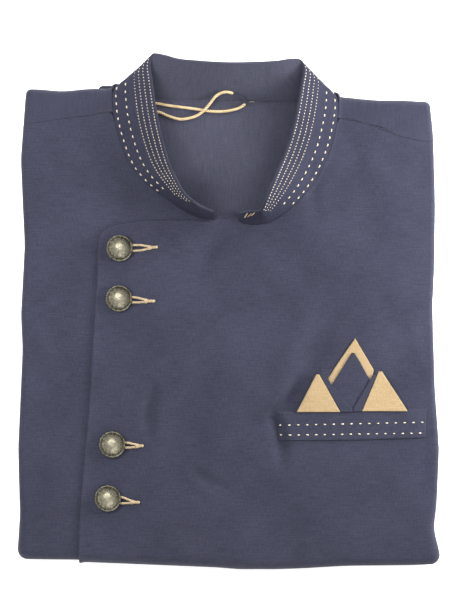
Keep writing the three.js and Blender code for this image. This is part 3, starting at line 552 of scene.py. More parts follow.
def woven(name, dark, light, roughness, slub_strength, sheen, slubs=SLUBS_ACROSS, thread=0.0007, neck=0.0):
    """Colour = mix of dark and light by long slubs one way, short threads the other way, fine
    flecks and slow patches. With a neck, the colour is painted lighter within that distance of the
    middle line and below the nape: painted light on the cloth that the collar shades inside the neck"""
    finish = Finish(name, light, roughness)
    place, across, along = finish.cloth_place()
    crossing = (slubs[1] * 1.1, slubs[0] * 2.6, 0.0)
    slubs = finish.noise(finish.stretched(place, slubs), 1.0, 3.0, 0.6)
    threads = finish.noise(finish.stretched(place, crossing), 1.0, 2.0, 0.5)
    flecks = finish.noise(place, 1300.0, 2.0, 0.6)
    patches = finish.noise(place, 22.0, 3.0, 0.55)
    warp = (across * (2 * np.pi / thread)).wave()
    weft = (along * (2 * np.pi / thread)).wave()
    weave = (warp * weft) * 0.5 + 0.5
    streak = (slubs - 0.5) * slub_strength + (threads - 0.5) * 0.6 + (patches - 0.5) * 0.6
    shade = (streak + (flecks - 0.5) * 1.15 + 0.5 + (weave - 0.5) * 0.12).held()
    colour = finish.mix(shade, dark, light)
    # Painted light: inside the neck the colour switches to the lighter copy, to lighten the cloth that the
    # collar shades
    if neck:
        within = ((neck - across.size()) * 400.0).held() * ((NAPE_PLACE - along) * 400.0).held()
        colour = finish.mix(within, colour, finish.mix(shade, PAINTED_LIT_NAVY_DARK, PAINTED_LIT_NAVY_LIGHT))
    finish.feed(finish.shader.inputs["Base Color"], colour)
    finish.feed(finish.shader.inputs["Roughness"], (roughness + (shade - 0.5) * -0.12).held())
    finish.shader.inputs["Sheen Weight"].default_value = sheen
    finish.shader.inputs["Sheen Roughness"].default_value = 0.5
    finish.shader.inputs["Specular IOR Level"].default_value = 0.2
    finish.bump(weave * 0.25 + slubs * 0.9 + threads * 0.5, 0.00035, 0.8)
    return finish.material


NAVY = woven("navy_cloth", NAVY_DARK, NAVY_LIGHT, 0.82, 0.8, 0.1)
COLLAR_NAVY = woven("navy_collar", COLLAR_DARK, COLLAR_LIGHT, 0.9, 0.8, 0.0)
# The back's cloth, with painted light inside the neck
NAVY_UPRIGHT = woven(
    "navy_cloth_upright", NAVY_DARK, NAVY_LIGHT, 0.82, 0.7, 0.1, SLUBS_UPRIGHT, neck=NECK_SIDE,
)
# Painted light: the lighter copy of the navy as one material, for the collar's inner layer
NAVY_PAINTED_LIT = woven("navy_cloth_painted_lit", PAINTED_LIT_NAVY_DARK, PAINTED_LIT_NAVY_LIGHT, 0.85, 0.7, 0.1, SLUBS_UPRIGHT)
TAN = woven("tan_cloth", TAN_DARK, TAN_LIGHT, 0.78, 0.6, 0.1, thread=0.0006)


def corded(name, dark, light, roughness, radius=0.001, plies=0):
    """Colour = light on the plies and dark between them: painted shade in the grooves between the
    plies. v runs round the cord with its twist, so a ply is |cos(plies / 2 * v / radius)|. A thread
    without plies gets no painted shade and is light all round"""
    finish = Finish(name, light, roughness)
    place, along, around = finish.cloth_place()
    fibres = finish.noise(finish.stretched(place, (900.0, 2500.0, 0.0)), 1.0, 2.0, 0.5)
    patches = finish.noise(place, 150.0, 2.0, 0.5)
    glow = 0.9
    # Painted shade: the colour darkens in the grooves between the twisted plies
    if plies:
        ply = (around * (plies / 2 / radius) + np.pi / 2).wave().size()
        glow = (ply ** 0.7) * 0.9
    shade = ((fibres - 0.5) * 0.8 + (patches - 0.5) * 0.7 + glow - 0.15).held()
    finish.feed(finish.shader.inputs["Base Color"], finish.mix(shade, dark, light))
    finish.bump(fibres, 0.0002, 0.6)
    return finish.material


HANGER_TAN = corded("tan_hanger_cord", (0.24, 0.16, 0.08), (0.76, 0.60, 0.36), 0.75, 0.0012, 3)
CORD = corded("tan_cord", (0.10, 0.07, 0.06), (0.60, 0.47, 0.28), 0.75, 0.0010, 3)
THREAD = corded("tan_thread", (0.34, 0.27, 0.17), (0.70, 0.62, 0.46), 0.6)

# %% Metal finish
BUTTON_RADIUS = 0.0108
PATINA, BRIGHT_METAL = (0.055, 0.052, 0.038), (0.68, 0.63, 0.47)


def aged_metal():
    """Dark patina with fine pits. The dome is lighter towards its middle and on the rim's top,
    partly rubbed wear and partly a painted highlight: shade = middle glow + rim glow + pits, where r
    is the distance from the axis"""
    finish = Finish("aged_metal", (0.40, 0.38, 0.30), 0.38, 1.0)
    place, across, along = finish.cloth_place()
    r = ((across * across + along * along) ** 0.5) / BUTTON_RADIUS
    pits = finish.noise(place, 900.0, 4.0, 0.65)
    stains = finish.noise(place, 330.0, 3.0, 0.6)
    # Painted highlight, partly rubbed wear: lighter towards the middle of the dome and on the rim's top
    glow = 1 - (r * 1.02) ** 2.6
    rim = (1 - ((r - 0.955) * 22).size()).held()
    shade = (glow * 0.70 + rim * 0.42 + (pits - 0.5) * 2.2 + (stains - 0.5) * 1.4 + 0.08).held()
    finish.feed(finish.shader.inputs["Base Color"], finish.mix(shade, PATINA, BRIGHT_METAL))
    finish.feed(finish.shader.inputs["Roughness"], (0.50 - shade * 0.16).held())
    finish.bump(pits * 0.6 + stains * 0.8, 0.0004, 0.5)
    return finish.material


METAL = aged_metal()
print("finishes:", [finish.name for finish in (NAVY, NAVY_UPRIGHT, TAN, CORD, THREAD, METAL)])

# %% [markdown]
# ## The hanger loop
#
# A thin cord is sewn into the back of the neck, so that the coat can hang on a hook. It lies
# slack in one loop that crosses itself. It is made from its real path, with three plies twisted
# round each other: the radius of the tube swells and sinks three times round, and that pattern
# turns as it moves along. Both ends go back into the collar seam.

# %% Hanger loop
CORD_RADIUS = 1.2
# x, y and height over the pack, as in the part's source
HANGER_PATH = np.array([
    [3.6, 179.4, 10.0], [-2.9, 180.4, 11.0], [-9.8, 177.9, 9.4], [-15.8, 171.0, 7.0], [-19.8, 166.5, 6.0],
    [-25.7, 162.0, 4.2], [-33.6, 159.5, 3.1], [-40.6, 159.0, 3.1], [-49.5, 161.4, 3.1], [-57.0, 164.6, 3.1],
    [-64.0, 165.6, 3.1], [-68.4, 168.2, 3.2], [-66.4, 171.6, 3.2], [-59.5, 172.0, 3.1], [-51.6, 170.5, 3.1],
    [-43.6, 169.4, 3.1], [-33.6, 168.1, 3.1], [-25.7, 167.0, 3.1], [-17.8, 165.7, 3.1], [-6.9, 165.2, 3.1],
    [2.0, 166.3, 3.1], [9.4, 168.6, 3.3], [13.4, 171.4, 4.6],
])


def twisted_tube(path, radius, plies, pitch, sides=18, fullness=0.84):
    """Rings round a path: radius * (fullness + (1 - fullness) * |cos(plies / 2 * (a - t))|), where
    the twist t turns once in each pitch. The ends close in a quarter circle"""
    length = travelled_along(path)
    ahead = unit(np.gradient(path, axis=0))
    side = unit(np.cross([0, 0, 1], ahead))
    up = np.cross(ahead, side)
    angle = np.linspace(-np.pi / 2, 1.5 * np.pi, sides, endpoint=False)[None, :]
    turn = 2 * np.pi * length[:, None] / pitch
    ply = np.abs(np.cos(plies / 2 * (angle - turn)))
    close = rounded(np.maximum(np.minimum(length, length[-1] - length)[:, None] / radius, 0.02))
    reach = radius * (fullness + (1 - fullness) * ply) * close
    rings = path[:, None] + (reach * np.cos(angle))[..., None] * side[:, None]
    rings = rings + (reach * np.sin(angle))[..., None] * up[:, None]
    flat = np.stack(np.broadcast_arrays(length[:, None], (angle - turn) * radius), axis=-1)
    return tube_mesh(rings, flat), float(length[-1])


hanger_line = smooth_curve(on_pack(HANGER_PATH), np.linspace(0, 1, 340))
hanger_mesh, hanger_length = twisted_tube(hanger_line, CORD_RADIUS, 3, 6.0)
hanger = make_piece("hanger_cord", *hanger_mesh, HANGER_TAN)
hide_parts("hanger_loop")
print(f"hanger loop {hanger_length:.0f} mm long")

# %% [markdown]
# ## Laying a panel
#
# A panel is drawn flat, between four boundary lines, and then laid on the pack. Past the edge of
# the pack it goes round the fold and under, so grid lines there are given as an angle round the
# fold. Near a free edge the two faces of the wall close in a small round, which catches the light
# as a turned and pressed edge does.

# %% Panel helpers
# Heights of the two faces of a layer over the pack: the fronts and yokes, and the back
FIRST_LOW, FIRST_HIGH = 1.8, 3.2
BACK_LOW, BACK_HIGH = 0.3, 1.5
# Gaps beside the collar's foot and along each side of a shoulder seam
SEAM_GAP = 0.10
SHOULDER_GAP = 0.03
# How far an edge rounds off where it meets the collar, and along a shoulder seam
COLLAR_ROUND, SEAM_ROUND = 0.2, 0.35
TURN_STEPS = np.radians([160, 152, 140, 124, 106, 88, 70, 53, 37, 23, 11])
RIM_DISTANCE = np.array([0, 0.5, 1.1, 2, 3, 4, 5, 6, 7, 8, 9.0])
FREE_STEPS = np.array([0, 0.06, 0.2, 0.5, 1.0, 1.7])
INSIDE = 9.0

left_table, right_table = soft_table(LEFT_EDGE), soft_table(RIGHT_EDGE)
top_table, bottom_table = soft_table(TOP_EDGE), soft_table(BOTTOM_EDGE)


def left_border(y):
    return left_table(y) + roll_radius(y) + FIRST_HIGH


def right_border(y):
    return right_table(y) - roll_radius(y) - FIRST_HIGH


def top_border(x):
    return top_table(x) - SIDE_ROLL - FIRST_HIGH


def bottom_border(x):
    return bottom_table(x) + HEM_ROLL + FIRST_HIGH


def grid_lines(count, start, end):
    """Share of the way, offset in mm, angle round the fold and distance to the edge, for each line"""
    inner = np.linspace(0, 1, count + 1)
    lines = np.column_stack((inner, 0 * inner, 0 * inner, 0 * inner + INSIDE))
    turns = np.column_stack((0 * TURN_STEPS, 0 * TURN_STEPS, TURN_STEPS, RIM_DISTANCE))
    free = np.column_stack((0 * FREE_STEPS, FREE_STEPS, 0 * FREE_STEPS, FREE_STEPS))
    before = turns * [1, 1, -1, 1] if start == "rolled" else free
    after = turns[::-1] if end == "rolled" else free[::-1] * [1, -1, 1, 1]
    first = 0 if start == "rolled" else 1
    last = len(inner) if end == "rolled" else -1
    return np.vstack((before, lines[first:last], after + [1, 0, 0, 0]))


def lie_on_pack(x, y, turn_x, turn_y, lift):
    """z = core_top + lift inside the edge. Past it a point goes round an arc of radius
    R = roll + lift by the angle a: R sin a outwards and R (1 - cos a) down"""
    angle = np.maximum(np.abs(turn_x), np.abs(turn_y))
    size = np.hypot(turn_x, turn_y)
    size = np.where(size > 0, size, 1)
    radius = roll_radius(y) + lift
    reach = radius * np.sin(angle) / size
    height = core_top(x, y) + lift - radius * (1 - np.cos(angle))
    return np.stack((x + turn_x * reach, y + turn_y * reach, height), axis=-1)


def lay_panel(left, right, low, high, columns, rows, lifts, side_round=1.6, end_round=0.5, relief=None):
    """x = left(y) + s (right(y) - left(y)) and y = low(x) + t (high(x) - low(x)), found together
    in a few rounds, then both faces of the wall are laid on the pack"""
    share_x, offset_x, turn_x, edge_x = (line[None, :] for line in columns.T)
    share_y, offset_y, turn_y, edge_y = (line[:, None] for line in rows.T)
    shape = (len(rows), len(columns))
    y = np.zeros(shape) + share_y
    for _ in range(10):
        x = left(y) + share_x * (right(y) - left(y)) + offset_x
        y = low(x) + share_y * (high(x) - low(x)) + offset_y
    turn_x = np.broadcast_to(turn_x, shape)
    turn_y = np.broadcast_to(turn_y, shape)
    end_round = end_round(x) if callable(end_round) else end_round
    round_off = rounded(np.minimum(edge_x / side_round, edge_y / end_round))
    bottom, top = lifts(x, y)
    middle, half = (bottom + top) / 2, (top - bottom) / 2
    extra = relief(x, y) if relief else 0.0
    upper = lie_on_pack(x, y, turn_x, turn_y, middle + half * round_off + extra)
    lower = lie_on_pack(x, y, turn_x, turn_y, middle - half * round_off)
    arc = roll_radius(y) + FIRST_HIGH
    flat = np.stack((x + turn_x * arc, y + turn_y * arc), axis=-1)
    return wall_mesh(upper, lower, flat)


print("widths of the pack at its middle:", left_border(np.array(0.0)), right_border(np.array(0.0)))

# %% [markdown]
# ## Where the panels meet the collar
#
# The fronts and the yokes end beside the collar's outer face, and the back ends beside its inner
# face. The faces lean, so their feet lie a little away from the seam line. That distance is
# measured all round, and the two border lines follow from it. Near the seam the cloth turns up.

# %% Neck borders
NECK_MIDDLE = [0, 125]
# Heights on the collar where its foot is measured, and how far out a face lies there
FOOT_ROWS = [0, 0.012, 0.03]
FOOT_FACES = np.array([0.65, 1.06, 1.17])
TURN_UP_WIDTH = 2.4
neck_ahead = unit(np.gradient(seam_line[:, :2], axis=0))
neck_out = np.column_stack((-neck_ahead[:, 1], neck_ahead[:, 0]))
neck_out *= np.sign(((seam_line[:, :2] - NECK_MIDDLE) * neck_out).sum(axis=1))[:, None]


def collar_reach(way):
    """How far the foot of the collar's outer or inner face lies from the seam line, in plan"""
    middle, normal = collar_middle(np.linspace(0, 1, len(seam_line)), FOOT_ROWS)
    face = middle + way * normal * FOOT_FACES[:, None]
    away = ((face[..., :2] - seam_line[:, None, :2]) * neck_out[:, None]).sum(axis=2)
    return (way * away).max(axis=1)[:, None]


outside_neck = seam_line[:, :2] + neck_out * (collar_reach(1) + SEAM_GAP)
inside_neck = seam_line[:, :2] - neck_out * (collar_reach(-1) + SEAM_GAP)
seam_section = np.linspace(0, 1, 300) * SECTIONS


def neck_rise(x, y, size=1.2):
    """The cloth turns up at the collar: size * exp(-(distance to the seam / 2.4)^2)"""
    near = np.full(x.shape, 1e9)
    for spot_x, spot_y in seam_line[::2, :2]:
        near = np.minimum(near, (x - spot_x) ** 2 + (y - spot_y) ** 2)
    return size * np.exp(-near / TURN_UP_WIDTH**2)


def neck_round(first, last):
    """The round of an edge that is sewn to the collar between two places and to a seam elsewhere"""
    return lambda x: np.where((x > first) & (x < last), COLLAR_ROUND, SEAM_ROUND)


def first_lifts(x, y):
    rise = neck_rise(x, y)
    return FIRST_LOW + rise, FIRST_HIGH + rise


print(f"the collar's outer foot lies up to {collar_reach(1).max():.1f} mm outside the seam line")

# %% [markdown]
# ## The fronts and the back
#
# The right front lies below, and the left front laps over it and closes with the buttons far out
# on the right side. Its edge is straight and comes to a rounded corner near the collar. The back
# comes over the shoulders in two narrow yoke strips, so the shoulder seams lie in front of the
# fold. Inside the neck the back has a faint crease down its middle, and its colour there is
# painted lighter: painted light on the cloth that the collar shades.

# %% Right front and left front
# Section of the collar where the right front's neck edge ends and the left front's starts
RIGHT_NECK_END, LEFT_NECK_START = 10.2, 23.9
RIGHT_NECK_TOP, LEFT_NECK_TOP = 163, 159.6
LAP_RISE = 1.7
LAP_CURL = 1.1
right_neck = outside_neck[(seam_section <= RIGHT_NECK_END) & (outside_neck[:, 1] < RIGHT_NECK_TOP)][::-1]
right_top = rising(np.vstack((np.array(LEFT_SHOULDER) - [0, SHOULDER_GAP], right_neck)))
right_points = lay_panel(
    left_border, soft_table(UNDER_EDGE), bottom_border, right_top,
    grid_lines(84, "rolled", "free"), grid_lines(150, "rolled", "free"), first_lifts,
    end_round=neck_round(-93.0, 0.0),
)
right_front = make_piece("right_front_cloth", *right_points, NAVY)
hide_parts("right_front")


def lap_rise(x):
    return LAP_RISE * (1 - smooth_step(x, 4, 36))


def lap_wave(x, y):
    """The corner of the lap's neck edge curls up between the two ends of the collar"""
    curl = 3.0 * np.exp(-(((x - 0.5) / 6.0) ** 4)) * smooth_step(y, 74.5, 83)
    dip = -0.9 * np.exp(-(((x + 9.5) / 2.6) ** 2) - ((y - 76) / 5) ** 2)
    return curl + dip


def lap_curl(x, y):
    """The lap's two free edges stand up a little: 1.1 exp(-(distance to the edge / 3)^2)"""
    side = hill(x - lap_side(y), 3.0)
    top = hill(y - lap_neck(x), 3.0) * (1 - smooth_step(x, -12, -4))
    return LAP_CURL * np.maximum(side, top)


def lap_lifts(x, y):
    rise = lap_rise(x) + neck_rise(x, y) * smooth_step(x, 12, 22) + lap_wave(x, y) + lap_curl(x, y)
    return FIRST_LOW + rise, FIRST_HIGH + rise


def lap_round(x):
    """The lap's neck edge is full at its free corner and tight where it is sewn"""
    free = 1.6 - 1.4 * smooth_step(x, 7, 12)
    return np.where(x > 14, neck_round(14.0, 88.0)(x), free)


left_neck = outside_neck[(seam_section >= LEFT_NECK_START) & (outside_neck[:, 0] > 9.5)][::-1]
left_neck = left_neck[left_neck[:, 1] < LEFT_NECK_TOP]
shoulder = np.array(RIGHT_SHOULDER) - [0, SHOULDER_GAP]
shoulder = shoulder[shoulder[:, 0] > left_neck[-1, 0]]
lap_side, lap_neck = soft_table(LAP_SIDE), rising(np.vstack((LAP_TOP[:-1], left_neck, shoulder)))
left_points = lay_panel(
    lap_side, right_border, bottom_border, lap_neck,
    grid_lines(120, "free", "rolled"), grid_lines(150, "rolled", "free"), lap_lifts, end_round=lap_round,
)
left_front = make_piece("left_front_cloth", *left_points, NAVY)
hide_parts("left_front")
print(f"fronts {half_area(right_front):.4f} and {half_area(left_front):.4f} square metres")

# %% Back
BACK_RISE = 2.3
back_neck = inside_neck[(seam_section >= FIRST_BACK_SECTION) & (seam_section <= LAST_BACK_SECTION)]
neck_edge = rising(back_neck)


def back_top(x):
    inside = (x > back_neck[0, 0]) & (x < back_neck[-1, 0])
    return np.where(inside, np.minimum(top_border(x), neck_edge(x)), top_border(x))


def back_lifts(x, y):
    rise = neck_rise(x, y, BACK_RISE) * smooth_step(y, 171.0, 172.6)
    return BACK_LOW + rise, BACK_HIGH + rise


def back_relief(x, y):
    """A pressed crease down the middle and a soft roll along the neck seam"""
    crease = -0.35 * hill(x - 14, 1.6) * smooth_step(y, 60, 90)
    fold = 0.5 * hill(y - 168, 3.0) * smooth_step(np.abs(x), 80, 60)
    return crease + fold


def yoke_side(first, last):
    """The yoke's edge along the collar between two sections, as x for a given y"""
    return outside_neck[(seam_section > first) & (seam_section < last)][:, ::-1]


back_sheet = lay_panel(
    left_border, right_border, bottom_border, back_top, grid_lines(110, "free", "free"),
    grid_lines(130, "free", "free"), back_lifts, relief=back_relief, end_round=COLLAR_ROUND,
)
left_yoke = lay_panel(
    left_border, rising(yoke_side(9, 13)), rising(np.array(LEFT_SHOULDER) + [0, SHOULDER_GAP]),
    top_border, grid_lines(36, "rolled", "free"), grid_lines(10, "free", "rolled"), first_lifts,
    side_round=COLLAR_ROUND, end_round=SEAM_ROUND,
)
right_yoke = lay_panel(
    rising(yoke_side(21.5, 25)[::-1]), right_border, rising(np.array(RIGHT_SHOULDER) + [0, SHOULDER_GAP]),
    top_border, grid_lines(36, "free", "rolled"), grid_lines(14, "free", "rolled"), first_lifts,
    side_round=COLLAR_ROUND, end_round=SEAM_ROUND,
)
print(f"back sheet of {len(back_sheet[0])} points, yokes of {len(left_yoke[0])} and {len(right_yoke[0])}")

# %% [markdown]
# Behind the collar the back goes on from the neck seam, over the fold at the top of the pack and
# under. That strip is hidden from above, but it shows from behind. It is a band between two
# lines, the foot of the collar and the fold's lower rim, with a round bulge between them.

# %% Nape of the back
# Sections of the collar, one for each column of the strip, and shares of the way down
NAPE_SECTIONS = np.linspace(11.2, 22.8, 120)
NAPE_ROWS = np.concatenate(([0, 0.01, 0.03], np.linspace(0.06, 0.94, 24), [0.97, 0.99, 1]))
NAPE_WALL = 1.0
FOOT_OUT = 1.9
RIM_OUT, RIM_DROP = 1.6, 5.3
RIM_PULL = [0, 4.4, 2.5]
FLAT_START, FLAT_DEPTH = 190, 14


def bulge(start, end, out_start, out_end, share):
    """A cubic from start to end that leaves along out_start and arrives along out_end"""
    t = share[None, :, None]
    a, d = start[:, None], end[:, None]
    b, c = a + out_start[:, None], d + out_end[:, None]
    return (1 - t) ** 3 * a + 3 * (1 - t) ** 2 * t * b + 3 * (1 - t) * t**2 * c + t**3 * d


def nape_wall():
    """The wall's two faces lie half its thickness to either side of the bulged band"""
    count = len(NAPE_SECTIONS)
    foot, out = (grid[:, 0] for grid in collar_middle(NAPE_SECTIONS / SECTIONS, [0.0]))
    start = foot + out * FOOT_OUT
    border = top_border(start[:, 0])
    end = np.column_stack((start[:, 0], border + RIM_OUT, core_top(start[:, 0], border) - RIM_DROP))
    leave = unit(out * [1, 1, 0]) * 3.0 + [0, 0, 0.2]
    middle = bulge(start, end, leave, np.tile(RIM_PULL, (count, 1)), NAPE_ROWS)
    normal = unit(np.cross(np.gradient(middle, axis=1), np.gradient(middle, axis=0)))
    normal *= np.sign(normal[60, 14, 1])
    edge = np.minimum(NAPE_ROWS, 1 - NAPE_ROWS)[None, :] * 12
    ends = np.minimum(np.arange(count), np.arange(count)[::-1])[:, None] * 0.6
    round_off = rounded(np.minimum(edge, ends))[..., None]
    outer = middle + normal * NAPE_WALL / 2 * round_off
    inner = middle - normal * NAPE_WALL / 2 * round_off
    depth = FLAT_START + NAPE_ROWS[None, :] * FLAT_DEPTH
    flat = np.stack(np.broadcast_arrays(middle[:, :1, 0], depth), axis=-1)
    return wall_mesh(*(grid.transpose(1, 0, 2)[::-1] for grid in (outer, inner, flat)))


back = make_piece("back_cloth", *join_meshes(back_sheet, left_yoke, right_yoke, nape_wall()), NAVY_UPRIGHT)
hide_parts("back")
print(f"back {half_area(back):.4f} square metres")

# %% [markdown]
# ## The standing collar
#
# A stand collar is a long strip of two layers. It stands up from the neck seam and leans in at
# the front, and it leans back behind the neck. Straight lines from the seam to the free edge give
# its surface. The outer and the inner layer are thin walls on the two sides of it, and the rows
# of stitches press the outer layer down a little, so that it swells between them.

# %% Collar
COLLAR_HEIGHT = 38.0
COLLAR_FACE = 1.15
# Rows of stitches: height on the collar, first and last section, then in mm the distance from
# stitch to stitch, the length of a stitch and its radius
STITCH_ROWS = [
    (0.10, 4.9, 30.4, 6.2, 2.6, 0.58), (0.34, 4.8, 30.6, 6.2, 2.6, 0.58),
    (0.58, 4.2, 31.7, 2.5, 1.2, 0.42), (0.70, 3.7, 31.9, 2.5, 1.2, 0.42),
    (0.82, 3.3, 32.1, 2.5, 1.2, 0.42), (0.945, 3.1, 32.2, 2.5, 1.2, 0.42),
]


def even_places(count):
    """Places from 0 to 1 that are evenly spaced along the middle of the collar"""
    fine = np.linspace(0, 1, 2000)
    length = travelled_along((smooth_curve(seam_points, fine) + smooth_curve(edge_points, fine)) / 2)
    return np.interp(np.linspace(0, length[-1], count), length, fine), float(length[-1])


def edged_steps(length, count):
    """Places from 0 to a length that stand closer together near both ends"""
    edge_steps = np.array([0, 0.12, 0.35, 0.7, 1.2])
    return np.concatenate((edge_steps, np.linspace(1.8, length - 1.8, count), length - edge_steps[::-1]))


def collar_swell(length, v):
    """Puckers: the cloth sinks by about 0.3 mm along each row of stitches, and waves slowly"""
    sewn = smooth_step(length, 38, 62) * (1 - smooth_step(length, length.max() - 52, length.max() - 34))
    sink = sum(hill(v - row[0], 0.022) for row in STITCH_ROWS)
    wave = 0.16 * np.sin(length / 3.1 + 9 * v) * np.sin(length / 7.7 + 2) * np.sin(np.pi * v)
    slow = 0.45 * np.sin(length / 23 + 1.2) * np.sin(np.pi * v)
    return wave + slow - 0.28 * sink * sewn


def collar_wall(low, high, dressed):
    """Two faces at low and high from the middle surface, closed in a round at all edges"""
    places, length = even_places(330)
    run = np.linspace(0, length, 330)
    along = np.interp(edged_steps(length, 320), run, places)
    travelled = np.interp(along, places, run)
    rows = edged_steps(COLLAR_HEIGHT, 46) / COLLAR_HEIGHT
    edge_u = np.minimum(travelled, length - travelled)[:, None]
    edge_v = (np.minimum(rows, 1 - rows) * COLLAR_HEIGHT)[None, :]
    edge = np.clip(np.minimum(edge_u, edge_v) / 0.8, 0, 1)
    half = (high - low) / 2 * rounded(edge)
    points, normal = collar_middle(along, rows)
    swell = collar_swell(travelled[:, None], rows[None, :]) * edge if dressed else 0.0
    inner_face = points + normal * ((low + high) / 2 - half)[..., None]
    outer_face = points + normal * ((low + high) / 2 + half + swell)[..., None]
    flat = np.stack(np.broadcast_arrays(travelled[:, None], (rows * COLLAR_HEIGHT)[None, :]), axis=-1)
    return wall_mesh(*(grid.transpose(1, 0, 2) for grid in (outer_face, inner_face, flat)))


collar_outer = make_piece("collar_outer_cloth", *collar_wall(0.15, COLLAR_FACE, True), COLLAR_NAVY)
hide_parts("collar_outer")
# The inner layer takes the lighter navy: painted light on the collar's shaded inside
collar_inner = make_piece("collar_inner_cloth", *collar_wall(-COLLAR_FACE, -0.15, False), NAVY_PAINTED_LIT)
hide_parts("collar_inner")
print(f"collar layers {half_area(collar_outer):.4f} and {half_area(collar_inner):.4f} square metres")

# %% [markdown]
# ## Hand stitches
#
# Two rows of long running stitches lie near the seam and four rows of short ones near the free
# edge. A stitch is a short bit of thread that comes out of the cloth and goes back into it, so
# each one is a small capsule whose ends sink. All the stitches of one part are one mesh, made
# from one pattern that is moved to every place at once.

# %% Stitches on the collar
SECTION_SHARE = 1 / SECTIONS
STITCH_SUNK = 0.05
chance = np.random.default_rng(7)


def stitch_mesh(places, ahead, up, length, radius):
    """Capsules: along = L/2 sin b, radius = r cos(b)^0.6, arch = r (0.7 - 1.5 (2 along / L)^2)"""
    bend = np.radians([-84, -55, -22, 22, 55, 84])[:, None]
    angle = np.linspace(0, 2 * np.pi, 6, endpoint=False)[None, :]
    along = 0.5 * np.sin(bend) + 0 * angle
    wide = np.cos(bend) ** 0.6 * np.cos(angle)
    high = np.cos(bend) ** 0.6 * np.sin(angle)
    side = np.cross(up, ahead)
    ahead = ahead + side * chance.normal(0, 0.07, len(places))[:, None]
    length = length * (1 + chance.normal(0, 0.06, len(places)))
    arch = radius * (0.7 - 1.5 * (2 * along) ** 2)
    spots = places[:, None, None] + ahead[:, None, None] * (along * length[:, None, None])[..., None]
    spots = spots + side[:, None, None] * (wide * radius)[None, ..., None]
    spots = spots + up[:, None, None] * (high * radius * 0.8 + arch)[None, ..., None]
    base = np.arange(along.size).reshape(along.shape)
    pattern = grid_quads(np.hstack((base, base[:, :1]))).tolist()
    pattern += [base[0, ::-1].tolist(), base[-1].tolist()]
    firsts = np.arange(len(places)) * base.size
    faces = [[int(first) + spot for spot in face] for first in firsts for face in pattern]
    flat = np.broadcast_to(np.stack((along * 3, wide * radius), axis=-1), (*spots.shape[:3], 2))
    flat = flat + chance.uniform(0, 40, (len(places), 1, 1, 2))
    return spots.reshape(-1, 3), faces, flat.reshape(-1, 2)


def collar_stitches(row, first, last, pitch, length, radius):
    """A row at one height of the collar, stitches evenly spaced along that row"""
    fine = np.linspace(first * SECTION_SHARE, last * SECTION_SHARE, 1500)
    travelled = travelled_along(collar_middle(fine, [row])[0][:, 0])
    count = int(travelled[-1] / pitch)
    at = np.interp((np.arange(count) + 0.5) * pitch, travelled, fine)
    points, normal = (grid[:, 0] for grid in collar_middle(at, [row]))
    ahead = unit((collar_middle(at + 0.002, [row])[0] - collar_middle(at - 0.002, [row])[0])[:, 0])
    lift = chance.normal(0, 0.02, count)[:, None] + COLLAR_FACE - STITCH_SUNK
    return stitch_mesh(points + normal * lift, ahead, normal, length, radius)


rows_of_stitches = [collar_stitches(*row) for row in STITCH_ROWS]
collar_thread = make_piece("collar_stitches", *join_meshes(*rows_of_stitches), THREAD)
print(f"collar stitches: {len(collar_thread.data.polygons)} faces")

# %% [markdown]
# ## Small tacks
#
# Three short bars of thread hold the layers together at the collar's front end, and two stitches
# show where the hanger loop is caught at the neck. A navy tack holds the loop's hidden end.

# %% Small tacks
# Section and height on the collar where each bar starts and ends
BAR_STARTS = [(34.42, 0.50), (34.02, 0.54), (33.66, 0.72)]
BAR_ENDS = [(33.92, 0.95), (33.52, 0.96), (33.15, 0.96)]
BAR_LIFT = 1.25
BAR_RADIUS = 0.45
# x, y and height over the pack of the two stitches and of points along the tack
NECK_SPOTS = np.array([[17.6, 173.1, 3.4], [19.6, 173.3, 3.4]])
NECK_WAYS = np.array([[0.97, 0.1, 0.2], [0.9, -0.3, 0.1]])
TACK_ROUTE = np.array([
    [3.2, 179.5, 9.6], [6.0, 179.0, 9.6], [9.4, 177.2, 8.4], [12.4, 174.4, 6.6], [13.6, 171.9, 4.9],
])
TACK_RADIUS = 0.62


def collar_spots(places):
    """Points and directions out of the collar at pairs of section number and height"""
    middle, normal = zip(*(collar_middle(np.array([u * SECTION_SHARE]), [v]) for u, v in places))
    return np.array(middle)[:, 0, 0], np.array(normal)[:, 0, 0]


bar_from, bar_normal = collar_spots(BAR_STARTS)
bar_to, _ = collar_spots(BAR_ENDS)
bar_way = bar_to - bar_from
bar_length = float(np.linalg.norm(bar_way, axis=1).mean())
bar_spots = (bar_from + bar_to) / 2 + bar_normal * BAR_LIFT
bars = stitch_mesh(bar_spots, unit(bar_way), bar_normal, bar_length, BAR_RADIUS)
fixing = stitch_mesh(on_pack(NECK_SPOTS), NECK_WAYS, np.tile([0, 0, 1.0], (2, 1)), 2.0, 0.35)
tacks = make_piece("front_and_neck_tacks", *join_meshes(bars, fixing), CORD)
tack_line = smooth_curve(on_pack(TACK_ROUTE), np.linspace(0, 1, 70))
tack_mesh, tack_length = twisted_tube(tack_line, TACK_RADIUS, 2, 1.6, 10, 0.7)
loop_tack = make_piece("hanger_tack", *tack_mesh, NAVY)
print(f"hanger loop tacked with {tack_length:.0f} mm of navy thread")

# %% [markdown]
# ## The pocket and its folded square
#
# A welt is a narrow strip of doubled cloth over the pocket's mouth. A folded square stands in the
# pocket: two tan points and two navy bands in front, with a tan peak and a navy diamond behind
# them. Each piece is drawn between a left and a right rail, filled in level lines from top to
# bottom, and lies on the left front at its own height.

# %% Welt and square
SQUARE_WALL = 1.0
